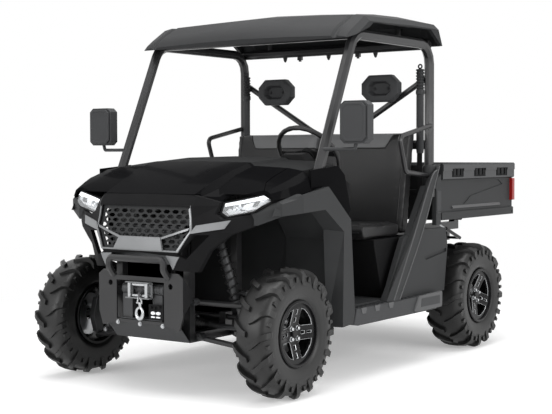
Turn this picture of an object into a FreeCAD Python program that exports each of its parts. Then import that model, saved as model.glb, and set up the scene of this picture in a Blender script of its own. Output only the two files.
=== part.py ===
"""Side by side utility vehicle: an open two-seat cab with a roll cage and a tipping cargo bed.

The frame has +X forward, +Y to the vehicle's left and +Z up. The origin is on the ground,
at the middle of the vehicle's length and width. Lengths are in millimetres.
"""
import FreeCAD, Part
import math
import os
import re

import Sketcher

os.makedirs("parts", exist_ok=True)
doc = FreeCAD.newDocument("side_by_side_utv")
Vector = FreeCAD.Vector

# Driving dimensions, one section for each group of pieces
SIZES = {
    "Whole vehicle": {
        "wheelbase": 1950,
        "front_overhang": 350,
        "rear_overhang": 580,
        "hub_height": 318,
        "wheel_face": 757,
        "body_half": 745,
        "side_half": 700,
        "overrun": 20,
        "seat_gap": 0.3,
    },
    "Wheels": {
        "tyre_radius": 318,
        "lug_height": 17,
        "front_tyre_width": 205,
        "rear_tyre_width": 255,
        "bead_radius": 152,
        "rim_flange": 9,
        "rim_wall": 6,
        "rim_inset": 13,
        "disc_depth": 22,
        "disc_lip": 12,
        "disc_recess": 37,
        "hub_radius": 44,
        "hub_length": 53,
        "cap_radius": 30,
        "cap_length": 14,
        "spindle_radius": 16,
        "shaft_play": 0.3,
        "lug_width": 30,
        "window_outer": 124,
        "spoke_slot_inner": 92,
        "spoke_slot_outer": 121,
        "spoke_slot_width": 14,
        "hub_slot_inner": 54,
        "hub_slot_outer": 80,
        "hub_slot_width": 20,
        "rear_rim_turn": 22,
    },
    "Frame": {
        "rail_inside": 200,
        "rail_width": 40,
        "rail_depth": 40,
        "rail_low": 262,
        "rail_rear": 400,
        "tower_front": 210,
        "tower_back": 210,
        "tower_top": 880,
        "bed_rail_low": 690,
        "bed_rail_depth": 50,
        "bed_rail_place": 330,
        "cab_rail_low": 930,
    },
    "Skid plate": {
        "skid_thick": 5,
        "skid_nose": 290,
        "skid_rise": 90,
    },
    "Front bumper": {
        "bumper_tube": 16,
        "bumper_low": 620,
        "bumper_high": 668,
        "bumper_half": 178,
        "tow_plate_thick": 8,
        "tow_plate_place": 155,
        "tow_plate_width": 119,
        "tow_plate_low": 326,
        "tow_plate_high": 604,
        "tow_plate_ahead": 304,
        "tow_hole": 14,
        "tow_hole_place": 196,
        "tow_hole_height": 539,
        "plate_flange": 25,
    },
    "Winch": {
        "winch_drum": 32,
        "winch_height": 512,
        "winch_window_low": 362,
        "winch_window_high": 556,
        "motor_width": 92,
        "motor_high": 62,
        "fairlead_width": 158,
        "fairlead_height": 82,
        "fairlead_depth": 14,
        "roller_radius": 10,
        "hook_length": 100,
        "hook_width": 34,
        "hook_thick": 16,
    },
    "Cab floor": {
        "floor_top": 388,
        "floor_thick": 14,
        "floor_half": 660,
        "firewall_behind": 395,
        "tunnel_half": 130,
        "tunnel_top": 440,
    },
    "Sills": {
        "sill_low": 290,
        "sill_high": 380,
        "sill_bulge": 40,
    },
    "Dash and cowl": {
        "dash_rear_behind": 620,
        "dash_low": 900,
        "dash_side_gap": 20,
        "cowl_rear_behind": 480,
        "cowl_front_behind": 170,
        "cowl_low": 1060,
        "cowl_high": 1168,
        "cowl_side_gap": 30,
    },
    "Hood": {
        "hood_front_ahead": 232,
        "hood_wing": 612,
        "hood_low": 920,
        "hood_high": 1143,
        "hood_thick": 18,
        "hood_seam": 2,
    },
    "Fascia and grille": {
        "nose_ahead": 315,
        "nose_half": 578,
        "nose_low": 606,
        "nose_high": 985,
        "fascia_thick": 28,
        "mask_seat_low": 935,
        "mask_seat_high": 965,
        "mask_boss": 32,
        "grille_depth": 12,
        "grille_thick": 8,
        "cell_pitch": 55,
        "cell_rise": 24,
        "cell_wall": 11,
        "trim_proud": 6,
        "trim_line": 8,
        "trim_bar_proud": 12,
    },
    "Headlamps": {
        "lamp_half_low": 385,
        "lamp_half_high": 665,
        "lamp_low": 860,
        "lamp_high": 1000,
        "lamp_ahead": 193,
        "lamp_thick": 40,
        "lamp_recess": 8,
        "lamp_strip": 5,
    },
    "Fenders": {
        "fender_inside": 562,
        "fender_side": 705,
        "fender_front_ahead": 92,
        "fender_rear_behind": 524,
        "fender_low": 846,
        "fender_high": 1119,
        "fender_thick": 14,
        "flare_front_ahead": 123,
        "flare_low": 305,
        "flare_high": 1022,
        "liner_inside": 395,
        "liner_thick": 8,
        "liner_low": 385,
        "liner_high": 905,
        "liner_front_behind": 40,
    },
    "Rear sides": {
        "side_rear_ahead": 329,
        "side_front_ahead": 1074,
        "side_high": 1121,
        "bar_proud": 22,
        "slot_depth": 10,
    },
    "Seats": {
        "seat_side_gap": 40,
        "seat_base_front_ahead": 1050,
        "seat_base_rear_ahead": 600,
        "cushion_front_ahead": 1165,
        "cushion_low": 712,
        "cushion_high": 800,
        "cushion_split": 20,
        "back_high": 1320,
        "back_top_ahead": 560,
        "back_thick": 85,
        "back_lean": 95,
        "head_drop": 322,
        "head_tall": 160,
        "head_inner": 250,
        "head_outer": 499,
        "head_thick": 70,
    },
    "Cage": {
        "cage_tube": 26,
        "brace_tube": 16,
        "pillar_base_behind": 267,
        "shelf_thick": 40,
        "pillar_top_behind": 620,
        "cage_top": 1800,
        "brace_drop": 178,
        "brace_low": 1230,
        "hoop_ahead": 505,
        "bend_radius": 110,
    },
    "Roof": {
        "roof_front_behind": 516,
        "roof_rear_ahead": 435,
        "roof_drop": 28,
        "roof_rise": 190,
        "roof_half": 715,
        "roof_thick": 14,
        "roof_rim": 22,
        "roof_groove": 12,
    },
    "Mirrors": {
        "mirror_place": 849,
        "mirror_behind": 347,
        "mirror_low": 1230,
        "mirror_high": 1441,
        "mirror_width": 162,
        "mirror_thick": 55,
        "mirror_arm": 9,
    },
    "Grab bars": {
        "grab_tube": 13,
        "grab_front_ahead": 871,
        "grab_top": 1341,
        "grab_elbow": 1271,
        "grab_foot": 1077,
        "grab_low": 1022,
        "grab_foot_ahead": 798,
    },
    "Suspension": {
        "arm_tube": 13,
        "shock_radius": 34,
        "shock_rod": 12,
        "shaft_radius": 13,
        "diff_half": 95,
        "kingpin_place": 577,
        "rear_pin_place": 530,
        "knuckle_half_height": 92,
        "knuckle_thick": 34,
        "arm_spread": 140,
        "steer_arm": 100,
    },
    "Engine and exhaust": {
        "engine_half": 190,
        "engine_high": 645,
        "engine_front_ahead": 430,
        "engine_rear_ahead": 95,
        "muffler_radius": 75,
        "muffler_length": 460,
        "muffler_height": 560,
        "radiator_thick": 40,
        "radiator_half": 225,
        "radiator_low": 640,
        "radiator_high": 830,
    },
    "Steering": {
        "wheel_ring": 178,
        "wheel_grip": 13,
        "wheel_hub": 42,
        "wheel_place": 360,
        "wheel_behind": 650,
        "wheel_height": 1180,
        "column_radius": 18,
        "column_length": 200,
        "rack_radius": 14,
        "rack_length": 600,
        "rack_height": 352,
        "column_lean": 50,
        "tie_rod_radius": 8,
    },
    "Bed": {
        "bed_front_ahead": 400,
        "bed_side_half": 680,
        "bed_floor_low": 790,
        "bed_floor_thick": 20,
        "bed_top": 1120,
        "bed_wall": 22,
        "bed_rail_high": 46,
        "bed_band_high": 44,
        "bed_rail_wide": 45,
        "bed_edge": 8,
        "bed_lip": 10,
        "bed_lip_high": 44,
        "bed_recess": 5,
        "pocket_low": 1040,
        "pocket_high": 1090,
        "pocket_depth": 12,
        "rib_depth": 8,
        "tailgate_thick": 32,
        "tailgate_gap": 13,
        "tailgate_play": 6,
        "tailgate_pin": 8,
        "hinge_behind": 420,
        "hinge_radius": 10,
        "hinge_drop": 25,
        "hinge_lug": 18,
        "hinge_lug_width": 28,
    },
    "Bed strut": {
        "strut_barrel": 11,
        "strut_rod": 5,
        "strut_place": 450,
        "strut_foot_behind": 300,
        "strut_foot_height": 640,
        "strut_head_ahead": 50,
    },
    "Rear end": {
        "receiver_half": 32,
        "receiver_wall": 6,
        "receiver_height": 400,
        "receiver_length": 150,
        "tail_lamp_low": 880,
        "tail_lamp_high": 1020,
        "tail_lamp_depth": 35,
    },
    "Belts": {
        "belt_drop": 108,
        "belt_long": 118,
        "belt_sleeve": 18,
    },
}

sheet = doc.addObject("Spreadsheet::Sheet", "Dims")
places = doc.addObject("App::VarSet", "Places")
NAMED = {}


def fill_sheet():
    """Write every driving dimension to its own cell, with its name as the cell's alias."""
    row = 1
    for section, sizes in SIZES.items():
        sheet.set(f"A{row}", section)
        row += 1
        for name, size in sizes.items():
            sheet.set(f"A{row}", name)
            sheet.set(f"B{row}", str(size))
            sheet.setAlias(f"B{row}", name)
            NAMED[name] = "Dims." + name
            row += 1
    doc.recompute()


def bound(text):
    """An expression on the sheet, from a sum that is written with the plain names."""
    return re.sub(r"[a-z][a-z_0-9]*", lambda word: NAMED.get(word.group(), word.group()), text)


def size(text):
    """The present value of such a sum."""
    return float(sheet.evalExpression(bound(text)))


def place(name, text):
    """A place that follows from the driving dimensions, kept beside the sheet."""
    places.addProperty("App::PropertyFloat", name)
    places.setExpression(name, bound(text))
    NAMED[name] = "Places." + name
    doc.recompute()


# How each drawing plane lies: the turn that brings a sketch onto it, its own depth axis and its role
PLANES = {
    "XY": (FreeCAD.Rotation(), Vector(0, 0, 1), "z", "XY_Plane", 1),
    "XZ": (FreeCAD.Rotation(Vector(1, 0, 0), 90), Vector(0, 1, 0), "y", "XZ_Plane", -1),
    "YZ": (
        FreeCAD.Rotation(Vector(0, 1, 0), Vector(0, 0, 1), Vector(1, 0, 0), "ZXY"),
        Vector(1, 0, 0),
        "x",
        "YZ_Plane",
        1,
    ),
}


def draw(sketch, corners):
    """Draw one closed outline in a sketch, each corner bound to the sheet."""
    spots = [Vector(size(across), size(up), 0) for across, up in corners]
    first = sketch.GeometryCount
    count = len(spots)
    lines = [Part.LineSegment(spots[i], spots[(i + 1) % count]) for i in range(count)]
    sketch.addGeometry(lines, False)
    rules = []
    for i in range(count):
        rules.append(Sketcher.Constraint("Coincident", first + i, 2, first + (i + 1) % count, 1))
    for i, spot in enumerate(spots):
        rules.append(Sketcher.Constraint("DistanceX", -1, 1, first + i, 1, spot.x))
        rules.append(Sketcher.Constraint("DistanceY", -1, 1, first + i, 1, spot.y))
    added = sketch.addConstraint(rules)
    for i, (across, up) in enumerate(corners):
        sketch.setExpression(f"Constraints[{added[count + 2 * i]}]", bound(across))
        sketch.setExpression(f"Constraints[{added[count + 2 * i + 1]}]", bound(up))


def body_sketch(body, name, plane, corners, offset="0"):
    """A sketch on one of its body's own planes, moved along that plane's axis by an offset."""
    role, sign = PLANES[plane][3:]
    sketch = body.newObject("Sketcher::SketchObject", name)
    origin_plane = [part for part in body.Origin.OriginFeatures if part.Role == role][0]
    sketch.AttachmentSupport = [(origin_plane, "")]
    sketch.MapMode = "FlatFace"
    sketch.setExpression("AttachmentOffset.Base.z", bound(f"({offset}) * {sign}"))
    draw(sketch, corners)
    return sketch


def slab(name, plane, corners, low, high):
    """A solid of one outline that runs from low to high across its plane."""
    body = doc.addObject("PartDesign::Body", name)
    start = high if plane == "XZ" else low
    sketch = body_sketch(body, name + "_outline", plane, corners, start)
    pad = body.newObject("PartDesign::Pad", name + "_pad")
    pad.Profile = sketch
    pad.setExpression("Length", bound(f"({high}) - ({low})"))
    return body


def block(name, along, across, up):
    """A box from its low and high places along X, Y and Z."""
    box = doc.addObject("Part::Box", name)
    for side, axis, (low, high) in zip(("Length", "Width", "Height"), "xyz", (along, across, up)):
        box.setExpression(side, bound(f"({high}) - ({low})"))
        box.setExpression(f"Placement.Base.{axis}", bound(low))
    return box


def point(text):
    """The present place of three sums."""
    return Vector(*[size(part) for part in text])


def flat_ring(spot, run, radius):
    """An eight-sided outline square to a run, as wide over its flats as a round bar."""
    side = run.cross(Vector(0, 0, 1))
    if side.Length < run.Length / 10:
        side = run.cross(Vector(1, 0, 0))
    side.normalize()
    up = side.cross(run).normalize()
    reach = radius / math.cos(math.pi / 8)
    turns = [math.pi * (2 * step + 1) / 8 for step in range(8)]
    spots = [spot + (side * math.cos(turn) + up * math.sin(turn)) * reach for turn in turns]
    return Part.makePolygon(spots + spots[:1])


def beam(name, start, end, radius):
    """A straight eight-sided bar between two places."""
    first = point(start)
    run = point(end) - first
    bar = doc.addObject("Part::Feature", name)
    bar.Shape = Part.Face(flat_ring(first, run, size(radius))).extrude(run)
    return bar


BEND_STEPS = 4


def rounded_route(route, bend):
    """The places along a route, each corner swapped for steps round its bend."""
    spots = [point(text) for text in route]
    along = [spots[0]]
    for before, corner, after in zip(spots, spots[1:], spots[2:]):
        back = (before - corner).normalize()
        onward = (after - corner).normalize()
        half = back.getAngle(onward) / 2
        middle = corner + (back + onward).normalize() * (bend / math.sin(half))
        entry = corner + back * (bend / math.tan(half)) - middle
        leave = corner + onward * (bend / math.tan(half)) - middle
        sweep = entry.getAngle(leave)
        for step in range(BEND_STEPS + 1):
            share = step / BEND_STEPS
            early = math.sin((1 - share) * sweep) / math.sin(sweep)
            late = math.sin(share * sweep) / math.sin(sweep)
            along.append(middle + entry * early + leave * late)
    return along + [spots[-1]]


def tube(name, route, radius, bend):
    """An eight-sided bar along a route, mitred at each step of its bends."""
    spots = rounded_route(route, size(bend))
    ways = [(after - before).normalize() for before, after in zip(spots, spots[1:])]
    ring = [corner.Point for corner in flat_ring(spots[0], ways[0], size(radius)).Vertexes]
    faces = [facet(ring)]
    for spot, way, onward in zip(spots[1:], ways, ways[1:] + ways[-1:]):
        mitre = way + onward
        ring_on = [corner + way * ((spot - corner).dot(mitre) / way.dot(mitre)) for corner in ring]
        for number in range(len(ring)):
            after = (number + 1) % len(ring)
            faces.append(facet([ring[number], ring[after], ring_on[after], ring_on[number]]))
        ring = ring_on
    faces.append(facet(ring))
    return closed_solid(name, faces)


def rod(name, start, end, radius):
    """A straight round bar between two places."""
    first = point(start)
    run = point(end) - first
    bar = doc.addObject("Part::Feature", name)
    bar.Shape = Part.makeCylinder(size(radius), run.Length, first, run)
    return bar


def facet(spots):
    """One flat face with these corners."""
    return Part.Face(Part.makePolygon(spots + spots[:1]))


def closed_solid(name, faces):
    """A solid inside flat faces that meet all round."""
    piece = doc.addObject("Part::Feature", name)
    solid = Part.makeSolid(Part.makeShell(faces))
    if solid.Volume < 0:
        solid.reverse()
    piece.Shape = solid
    return piece


def halves(first, second, third, fourth, flip):
    """Four corners as two flat facets, split along one diagonal or the other."""
    if flip:
        return [facet([first, second, fourth]), facet([second, third, fourth])]
    return [facet([first, second, third]), facet([first, third, fourth])]


def sheet_over(name, grid, shift):
    """A sheet through rows of places, of flat facets, as thick as one shift."""
    front = [[point(text) for text in row] for row in grid]
    step = point(shift)
    back = [[spot + step for spot in row] for row in front]
    faces = []
    for rows in (front, back):
        for low, high in zip(rows, rows[1:]):
            for i in range(len(low) - 1):
                flip = low[i].y + low[i + 1].y < 0
                faces += halves(low[i], low[i + 1], high[i + 1], high[i], flip)
    rim = front[0] + [row[-1] for row in front[1:]] + front[-1][-2::-1] + [row[0] for row in front[-2:0:-1]]
    for spot, onward in zip(rim, rim[1:] + rim[:1]):
        faces.append(facet([spot, onward, onward + step, spot + step]))
    return closed_solid(name, faces)


def facet_loft(name, plane, stations):
    """A solid through closed outlines with flat facets between them."""
    turn, axis = PLANES[plane][:2]
    rings = []
    for offset, corners in stations:
        spots = [turn.multVec(Vector(size(across), size(up), 0)) for across, up in corners]
        rings.append([spot + axis * size(offset) for spot in spots])
    faces = [facet(rings[0]), facet(rings[-1])]
    for low, high in zip(rings, rings[1:]):
        for i in range(len(low)):
            j = (i + 1) % len(low)
            faces += halves(low[i], low[j], high[j], high[i], False)
    return closed_solid(name, faces)


def whole_row(left):
    """A row of places from side to side, from its left half."""
    return [(x, f"-({y})", z) for x, y, z in left[:0:-1]] + left


def closed_pair(points):
    """A whole symmetrical outline from a left half that starts and ends at the middle."""
    return points + [(f"-({across})", up) for across, up in points[-2:0:-1]]


def mirrored(piece):
    """The right-hand twin of a left-hand piece."""
    twin = doc.addObject("Part::Mirroring", piece.Name + "_right")
    twin.Source = piece
    twin.Normal = Vector(0, 1, 0)
    return twin


def joined(name, pieces):
    """Several overlapping solids made one."""
    union = doc.addObject("Part::MultiFuse", name)
    union.Shapes = pieces
    return union


def gathered(name, pieces):
    """Several solids that stay apart but share one node."""
    group = doc.addObject("Part::Compound", name)
    group.Links = pieces
    return group


def pair(name, left):
    """A left-hand piece and its twin, apart in one node."""
    return gathered(name, [left, mirrored(left)])


def less(name, base, tools):
    """A solid with the tools cut out of it."""
    tool = tools[0]
    if len(tools) > 1:
        tool = joined(name + "_tools", tools)
    cut = doc.addObject("Part::Cut", name)
    cut.Base = base
    cut.Tool = tool
    return cut


def within(name, base, room):
    """What two solids have in common."""
    common = doc.addObject("Part::Common", name)
    common.Base = base
    common.Tool = room
    return common


def framed(shares, along, up):
    """Outline corners from their shares of a frame's two sides."""
    (left, right), (low, high) = along, up
    return [
        (f"({left}) + (({right}) - ({left})) * {across}", f"({low}) + (({high}) - ({low})) * {rise}")
        for across, rise in shares
    ]


def shared(start, end, share):
    """The place at a share of the way from one place to another."""
    return [f"({low}) + (({high}) - ({low})) * {share}" for low, high in zip(start, end)]


NODES = {}


def node(name, piece):
    """Name the finished sub-part, which is written to its own file."""
    piece.Label = name
    NODES[name] = piece
    return piece


def set_places():
    """The axles and the main cross planes, from the wheelbase and the overhangs."""
    place("front_end", "(front_overhang + wheelbase + rear_overhang) / 2")
    place("rear_end", "-front_end")
    place("front_axle", "front_end - front_overhang")
    place("rear_axle", "rear_end + rear_overhang")
    place("firewall", "front_axle - firewall_behind")
    place("hoop", "rear_axle + hoop_ahead")
    place("cab_rear", "hoop + rail_width / 2 + seat_gap")
    place("back_foot", "rear_axle + back_top_ahead + back_lean")
    place("flare_inside", "floor_half + seat_gap")
    place("cage_half", "floor_half")
    place("seat_half", "floor_half - seat_side_gap")
    place("dash_half", "floor_half - dash_side_gap")
    place("cowl_half", "floor_half - cowl_side_gap")
    place("rail_top", "rail_low + rail_depth")
    place("rail_outside", "rail_inside + rail_width")
    place("floor_under", "floor_top - floor_thick")
    place("bed_rail_top", "bed_rail_low + bed_rail_depth")
    place("disc_stack", "rim_inset + disc_recess + disc_depth")
    place("rack_line", "front_axle - steer_arm")
    place("hinge_line", "rear_axle - hinge_behind")
    place("hinge_height", "bed_floor_low - hinge_drop")
    place("strut_foot", "rear_axle - strut_foot_behind")
    place("bed_rear", "rear_end + tailgate_thick + tailgate_gap")
    place("gate_line", "rear_end + tailgate_thick / 2")
    place("gate_height", "bed_floor_low + tailgate_thick / 2 - seat_gap")
    place("brace_high", "cage_top - brace_drop")
    place("head_low", "cage_top - head_drop")
    place("head_high", "head_low + head_tall")
    place("belt_high", "cage_top - belt_drop")
    place("roof_low", "cage_top - roof_drop")
    place("roof_high", "roof_low + roof_rise")
    place("roof_rear", "rear_axle + roof_rear_ahead")
    place("roof_front", "front_axle - roof_front_behind")
    place("winch_face", "front_axle + tow_plate_ahead + fairlead_depth * 2")
    place("lean_sine", "sin(column_lean)")
    place("lean_cosine", "cos(column_lean)")


CROSS_MEMBER_SHARES = (0, 0.24, 0.52, 0.7, 0.985)
FLOOR_BEARER_SHARES = (0.42, 0.72)


def tower(name, axle, top):
    """Four posts and their rails over one axle, which carry the suspension."""
    pieces = []
    for number, edge in enumerate((f"{axle} + tower_front - rail_width", f"{axle} - tower_back")):
        pieces.append(
            block(
                f"{name}_post_{number}",
                (edge, f"{edge} + rail_width"),
                ("rail_inside", "rail_outside"),
                ("rail_low", top),
            )
        )
        pieces.append(
            block(
                f"{name}_tie_{number}",
                (edge, f"{edge} + rail_width"),
                ("-rail_inside", "rail_inside"),
                (f"{top} - rail_depth", top),
            )
        )
    pieces.append(
        block(
            f"{name}_rail",
            (f"{axle} - tower_back", f"{axle} + tower_front"),
            ("rail_inside", "rail_outside"),
            (f"{top} - rail_depth", top),
        )
    )
    return pieces


def build_frame():
    """The welded frame: two rails, cross members, both suspension towers and the bed rails."""
    rail_start = "rear_axle - rail_rear"
    rail_end = "front_axle + tower_front"
    left = [block("rail", (rail_start, rail_end), ("rail_inside", "rail_outside"), ("rail_low", "rail_top"))]
    left += tower("front_tower", "front_axle", "tower_top")
    left += tower("rear_tower", "rear_axle", "bed_rail_low")
    left.append(
        block(
            "cab_post",
            ("hoop - rail_width / 2", "hoop + rail_width / 2"),
            ("rail_inside", "rail_outside"),
            ("rail_low", "cab_rail_low"),
        )
    )
    left.append(
        block(
            "bed_rail",
            ("rear_axle - hinge_behind + rail_width", "hoop"),
            ("bed_rail_place", "bed_rail_place + rail_width"),
            ("bed_rail_low", "bed_rail_top"),
        )
    )
    cross = []
    for number, share in enumerate(CROSS_MEMBER_SHARES):
        edge = f"{rail_start} + ({rail_end} - rail_width - ({rail_start})) * {share}"
        cross.append(
            block(
                f"cross_{number}",
                (edge, f"{edge} + rail_width"),
                ("-rail_outside", "rail_outside"),
                ("rail_low", "rail_top"),
            )
        )
    for number, share in enumerate(FLOOR_BEARER_SHARES):
        edge = f"cab_rear + (firewall - cab_rear) * {share}"
        cross.append(
            block(
                f"bearer_{number}",
                (edge, f"{edge} + rail_width"),
                ("-floor_half", "floor_half"),
                ("rail_top - overrun", "floor_under"),
            )
        )
    left.append(
        block(
            "shelf_post",
            ("front_axle - tower_back", "front_axle - tower_back + rail_width"),
            ("rail_inside", "rail_outside"),
            ("tower_top", "cowl_low - shelf_thick"),
        )
    )
    cross.append(
        block(
            "pillar_shelf",
            ("front_axle - pillar_base_behind - cage_tube", "front_axle - tower_back + rail_width"),
            ("-cage_half - cage_tube", "cage_half + cage_tube"),
            ("cowl_low - shelf_thick", "cowl_low - seat_gap"),
        )
    )
    left.append(
        block(
            "mask_post",
            ("front_axle + tower_front - rail_width", "front_axle + tower_front"),
            ("rail_inside", "rail_outside"),
            ("tower_top - overrun", "mask_seat_high"),
        )
    )
    left.append(
        block(
            "rack_saddle",
            ("rack_line - rack_radius * 2", "rack_line + rack_radius * 2"),
            ("rail_inside", "rail_outside"),
            ("rail_top - overrun", "rack_height + rack_radius * 2"),
        )
    )
    left.append(
        block(
            "hinge_link",
            ("hinge_line - hinge_lug", "hinge_line + rail_width"),
            ("bed_rail_place", "bed_rail_place + rail_width"),
            ("bed_rail_low", "hinge_height"),
        )
    )
    left.append(
        rod(
            "hinge_lug_round",
            ("hinge_line", "bed_rail_place", "hinge_height"),
            ("hinge_line", "bed_rail_place + rail_width", "hinge_height"),
            "hinge_lug",
        )
    )
    left.append(
        block(
            "strut_hanger",
            ("strut_foot - strut_barrel * 1.5", "strut_foot + strut_barrel * 1.5"),
            ("bed_rail_place", "bed_rail_place + rail_width"),
            ("strut_foot_height - strut_barrel * 1.5", "bed_rail_low"),
        )
    )
    left.append(
        block(
            "bed_stop",
            ("rear_axle + bed_front_ahead - rail_width * 2", "rear_axle + bed_front_ahead - rail_width"),
            ("bed_rail_place", "bed_rail_place + rail_width"),
            ("bed_rail_top", "bed_floor_low - seat_gap"),
        )
    )
    rack_bore = rod(
        "rack_bore",
        ("rack_line", "-rack_length / 2", "rack_height"),
        ("rack_line", "rack_length / 2", "rack_height"),
        "rack_radius + shaft_play",
    )
    hinge_bore = rod(
        "hinge_bore",
        ("hinge_line", "-side_half", "hinge_height"),
        ("hinge_line", "side_half", "hinge_height"),
        "hinge_radius + shaft_play",
    )
    beams = {
        "cab_beam": ("hoop - rail_width / 2", "hoop + rail_width / 2", "cage_half + cage_tube", "cab_rail_low"),
        "bed_beam_front": ("hoop - rail_width / 2", "hoop", "bed_rail_place + rail_width", "bed_rail_low"),
        "bed_beam_rear": (
            "rear_axle - tower_back",
            "rear_axle - tower_back + rail_width",
            "bed_rail_place + rail_width",
            "bed_rail_low",
        ),
    }
    for name, (back, front, half, low) in beams.items():
        cross.append(block(name, (back, front), (f"-({half})", half), (low, f"{low} + rail_depth")))
    receiver = block(
        "receiver_tube",
        ("rear_axle - rail_rear - receiver_length", "rear_axle - rail_rear + rail_width"),
        ("-receiver_half", "receiver_half"),
        ("receiver_height - receiver_half", "receiver_height + receiver_half"),
    )
    hanger = block(
        "receiver_hanger",
        ("rear_axle - rail_rear", "rear_axle - rail_rear + rail_width"),
        ("-receiver_half", "receiver_half"),
        ("rail_low", "receiver_height"),
    )
    mouth = block(
        "receiver_mouth",
        ("rear_axle - rail_rear - receiver_length - overrun", "rear_axle - rail_rear"),
        ("-(receiver_half - receiver_wall)", "receiver_half - receiver_wall"),
        ("receiver_height - receiver_half + receiver_wall", "receiver_height + receiver_half - receiver_wall"),
    )
    whole = joined("frame_whole", left + [mirrored(piece) for piece in left] + cross + [receiver, hanger])
    node("frame", less("frame_cut", whole, [mouth, rack_bore, hinge_bore]))


def build_skid_plate():
    """The pan under the frame, which turns up at the nose."""
    corners = [
        ("rear_axle - rail_rear", "rail_low"),
        ("rear_axle - rail_rear", "rail_low - skid_thick"),
        ("front_axle + tower_front", "rail_low - skid_thick"),
        ("front_axle + skid_nose", "rail_low - skid_thick + skid_rise"),
        ("front_axle + skid_nose", "rail_low + skid_rise"),
        ("front_axle + tower_front", "rail_low"),
    ]
    node("skid_plate", slab("skid", "XZ", corners, "-rail_outside", "rail_outside"))


TOW_PLATE_SHARES = ((0, 0.07), (0.5, 0.03), (0.6, 0), (0.8, 0), (1, 0.25), (1, 0.92), (0.75, 1), (0.12, 1), (0, 0.9))


def build_front_bumper():
    """The bumper loop, its flanged tow plates and the arms that carry them on the front tower."""
    ahead = "front_axle + tow_plate_ahead"
    plate_face = framed(
        TOW_PLATE_SHARES,
        ("tow_plate_place", "tow_plate_place + tow_plate_width"),
        ("tow_plate_low", "tow_plate_high"),
    )
    plate = slab("tow_plate", "YZ", plate_face, f"{ahead} - tow_plate_thick", ahead)
    flange = slab(
        "tow_flange",
        "XZ",
        [
            (f"{ahead} - tow_plate_thick", "tow_plate_low + plate_flange * 3"),
            (f"{ahead} - plate_flange * 3", "winch_height - rail_depth"),
            (f"{ahead} - plate_flange * 3", "winch_height"),
            (f"{ahead} - tow_plate_thick", "tow_plate_high - plate_flange"),
        ],
        "tow_plate_place + tow_plate_width - tow_plate_thick",
        "tow_plate_place + tow_plate_width",
    )
    arm = block(
        "bumper_arm",
        ("front_axle + tower_front", f"{ahead} - tow_plate_thick"),
        ("rail_inside", "rail_outside"),
        ("winch_height - rail_depth", "winch_height"),
    )
    hole = rod(
        "tow_eye",
        (f"{ahead} - tow_plate_thick - overrun", "tow_hole_place", "tow_hole_height"),
        (f"{ahead} + overrun", "tow_hole_place", "tow_hole_height"),
        "tow_hole",
    )
    side = less("tow_side", joined("tow_side_whole", [plate, flange, arm]), [hole])
    bars = [
        block(
            name,
            (f"{ahead} - tow_plate_thick", ahead),
            ("-tow_plate_place - overrun", "tow_plate_place + overrun"),
            up,
        )
        for name, up in (
            ("winch_brow", ("winch_window_high", "tow_plate_high - plate_flange")),
            ("winch_shelf", ("tow_plate_low + overrun", "winch_window_low")),
        )
    ]
    tray = block(
        "winch_tray",
        (f"{ahead} - plate_flange * 4", f"{ahead} - tow_plate_thick / 2"),
        ("-tow_plate_place - overrun", "tow_plate_place + overrun"),
        ("winch_window_low - tow_plate_thick", "winch_window_low"),
    )
    rear = f"{ahead} - tow_plate_thick / 2"
    front = "front_end - bumper_tube"
    loop = tube(
        "bumper_loop",
        (
            (rear, "bumper_half", "tow_plate_high - bumper_tube * 1.5"),
            (front, "bumper_half", "bumper_low"),
            (front, "bumper_half", "bumper_high"),
            (front, "-bumper_half", "bumper_high"),
            (front, "-bumper_half", "bumper_low"),
            (rear, "-bumper_half", "tow_plate_high - bumper_tube * 1.5"),
        ),
        "bumper_tube",
        "bumper_tube * 1.4",
    )
    node("front_bumper", joined("bumper_whole", [side, mirrored(side), tray, loop] + bars))


HOOK_SHARES = (
    (-0.2, 1), (0.2, 1), (0.25, 0.7), (0.5, 0.5), (0.5, 0.15), (0.25, 0), (-0.25, 0), (-0.5, 0.15), (-0.5, 0.35),
    (-0.2, 0.35), (-0.1, 0.22), (0.12, 0.22), (0.2, 0.35), (0.1, 0.5), (-0.2, 0.6),
)


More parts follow.
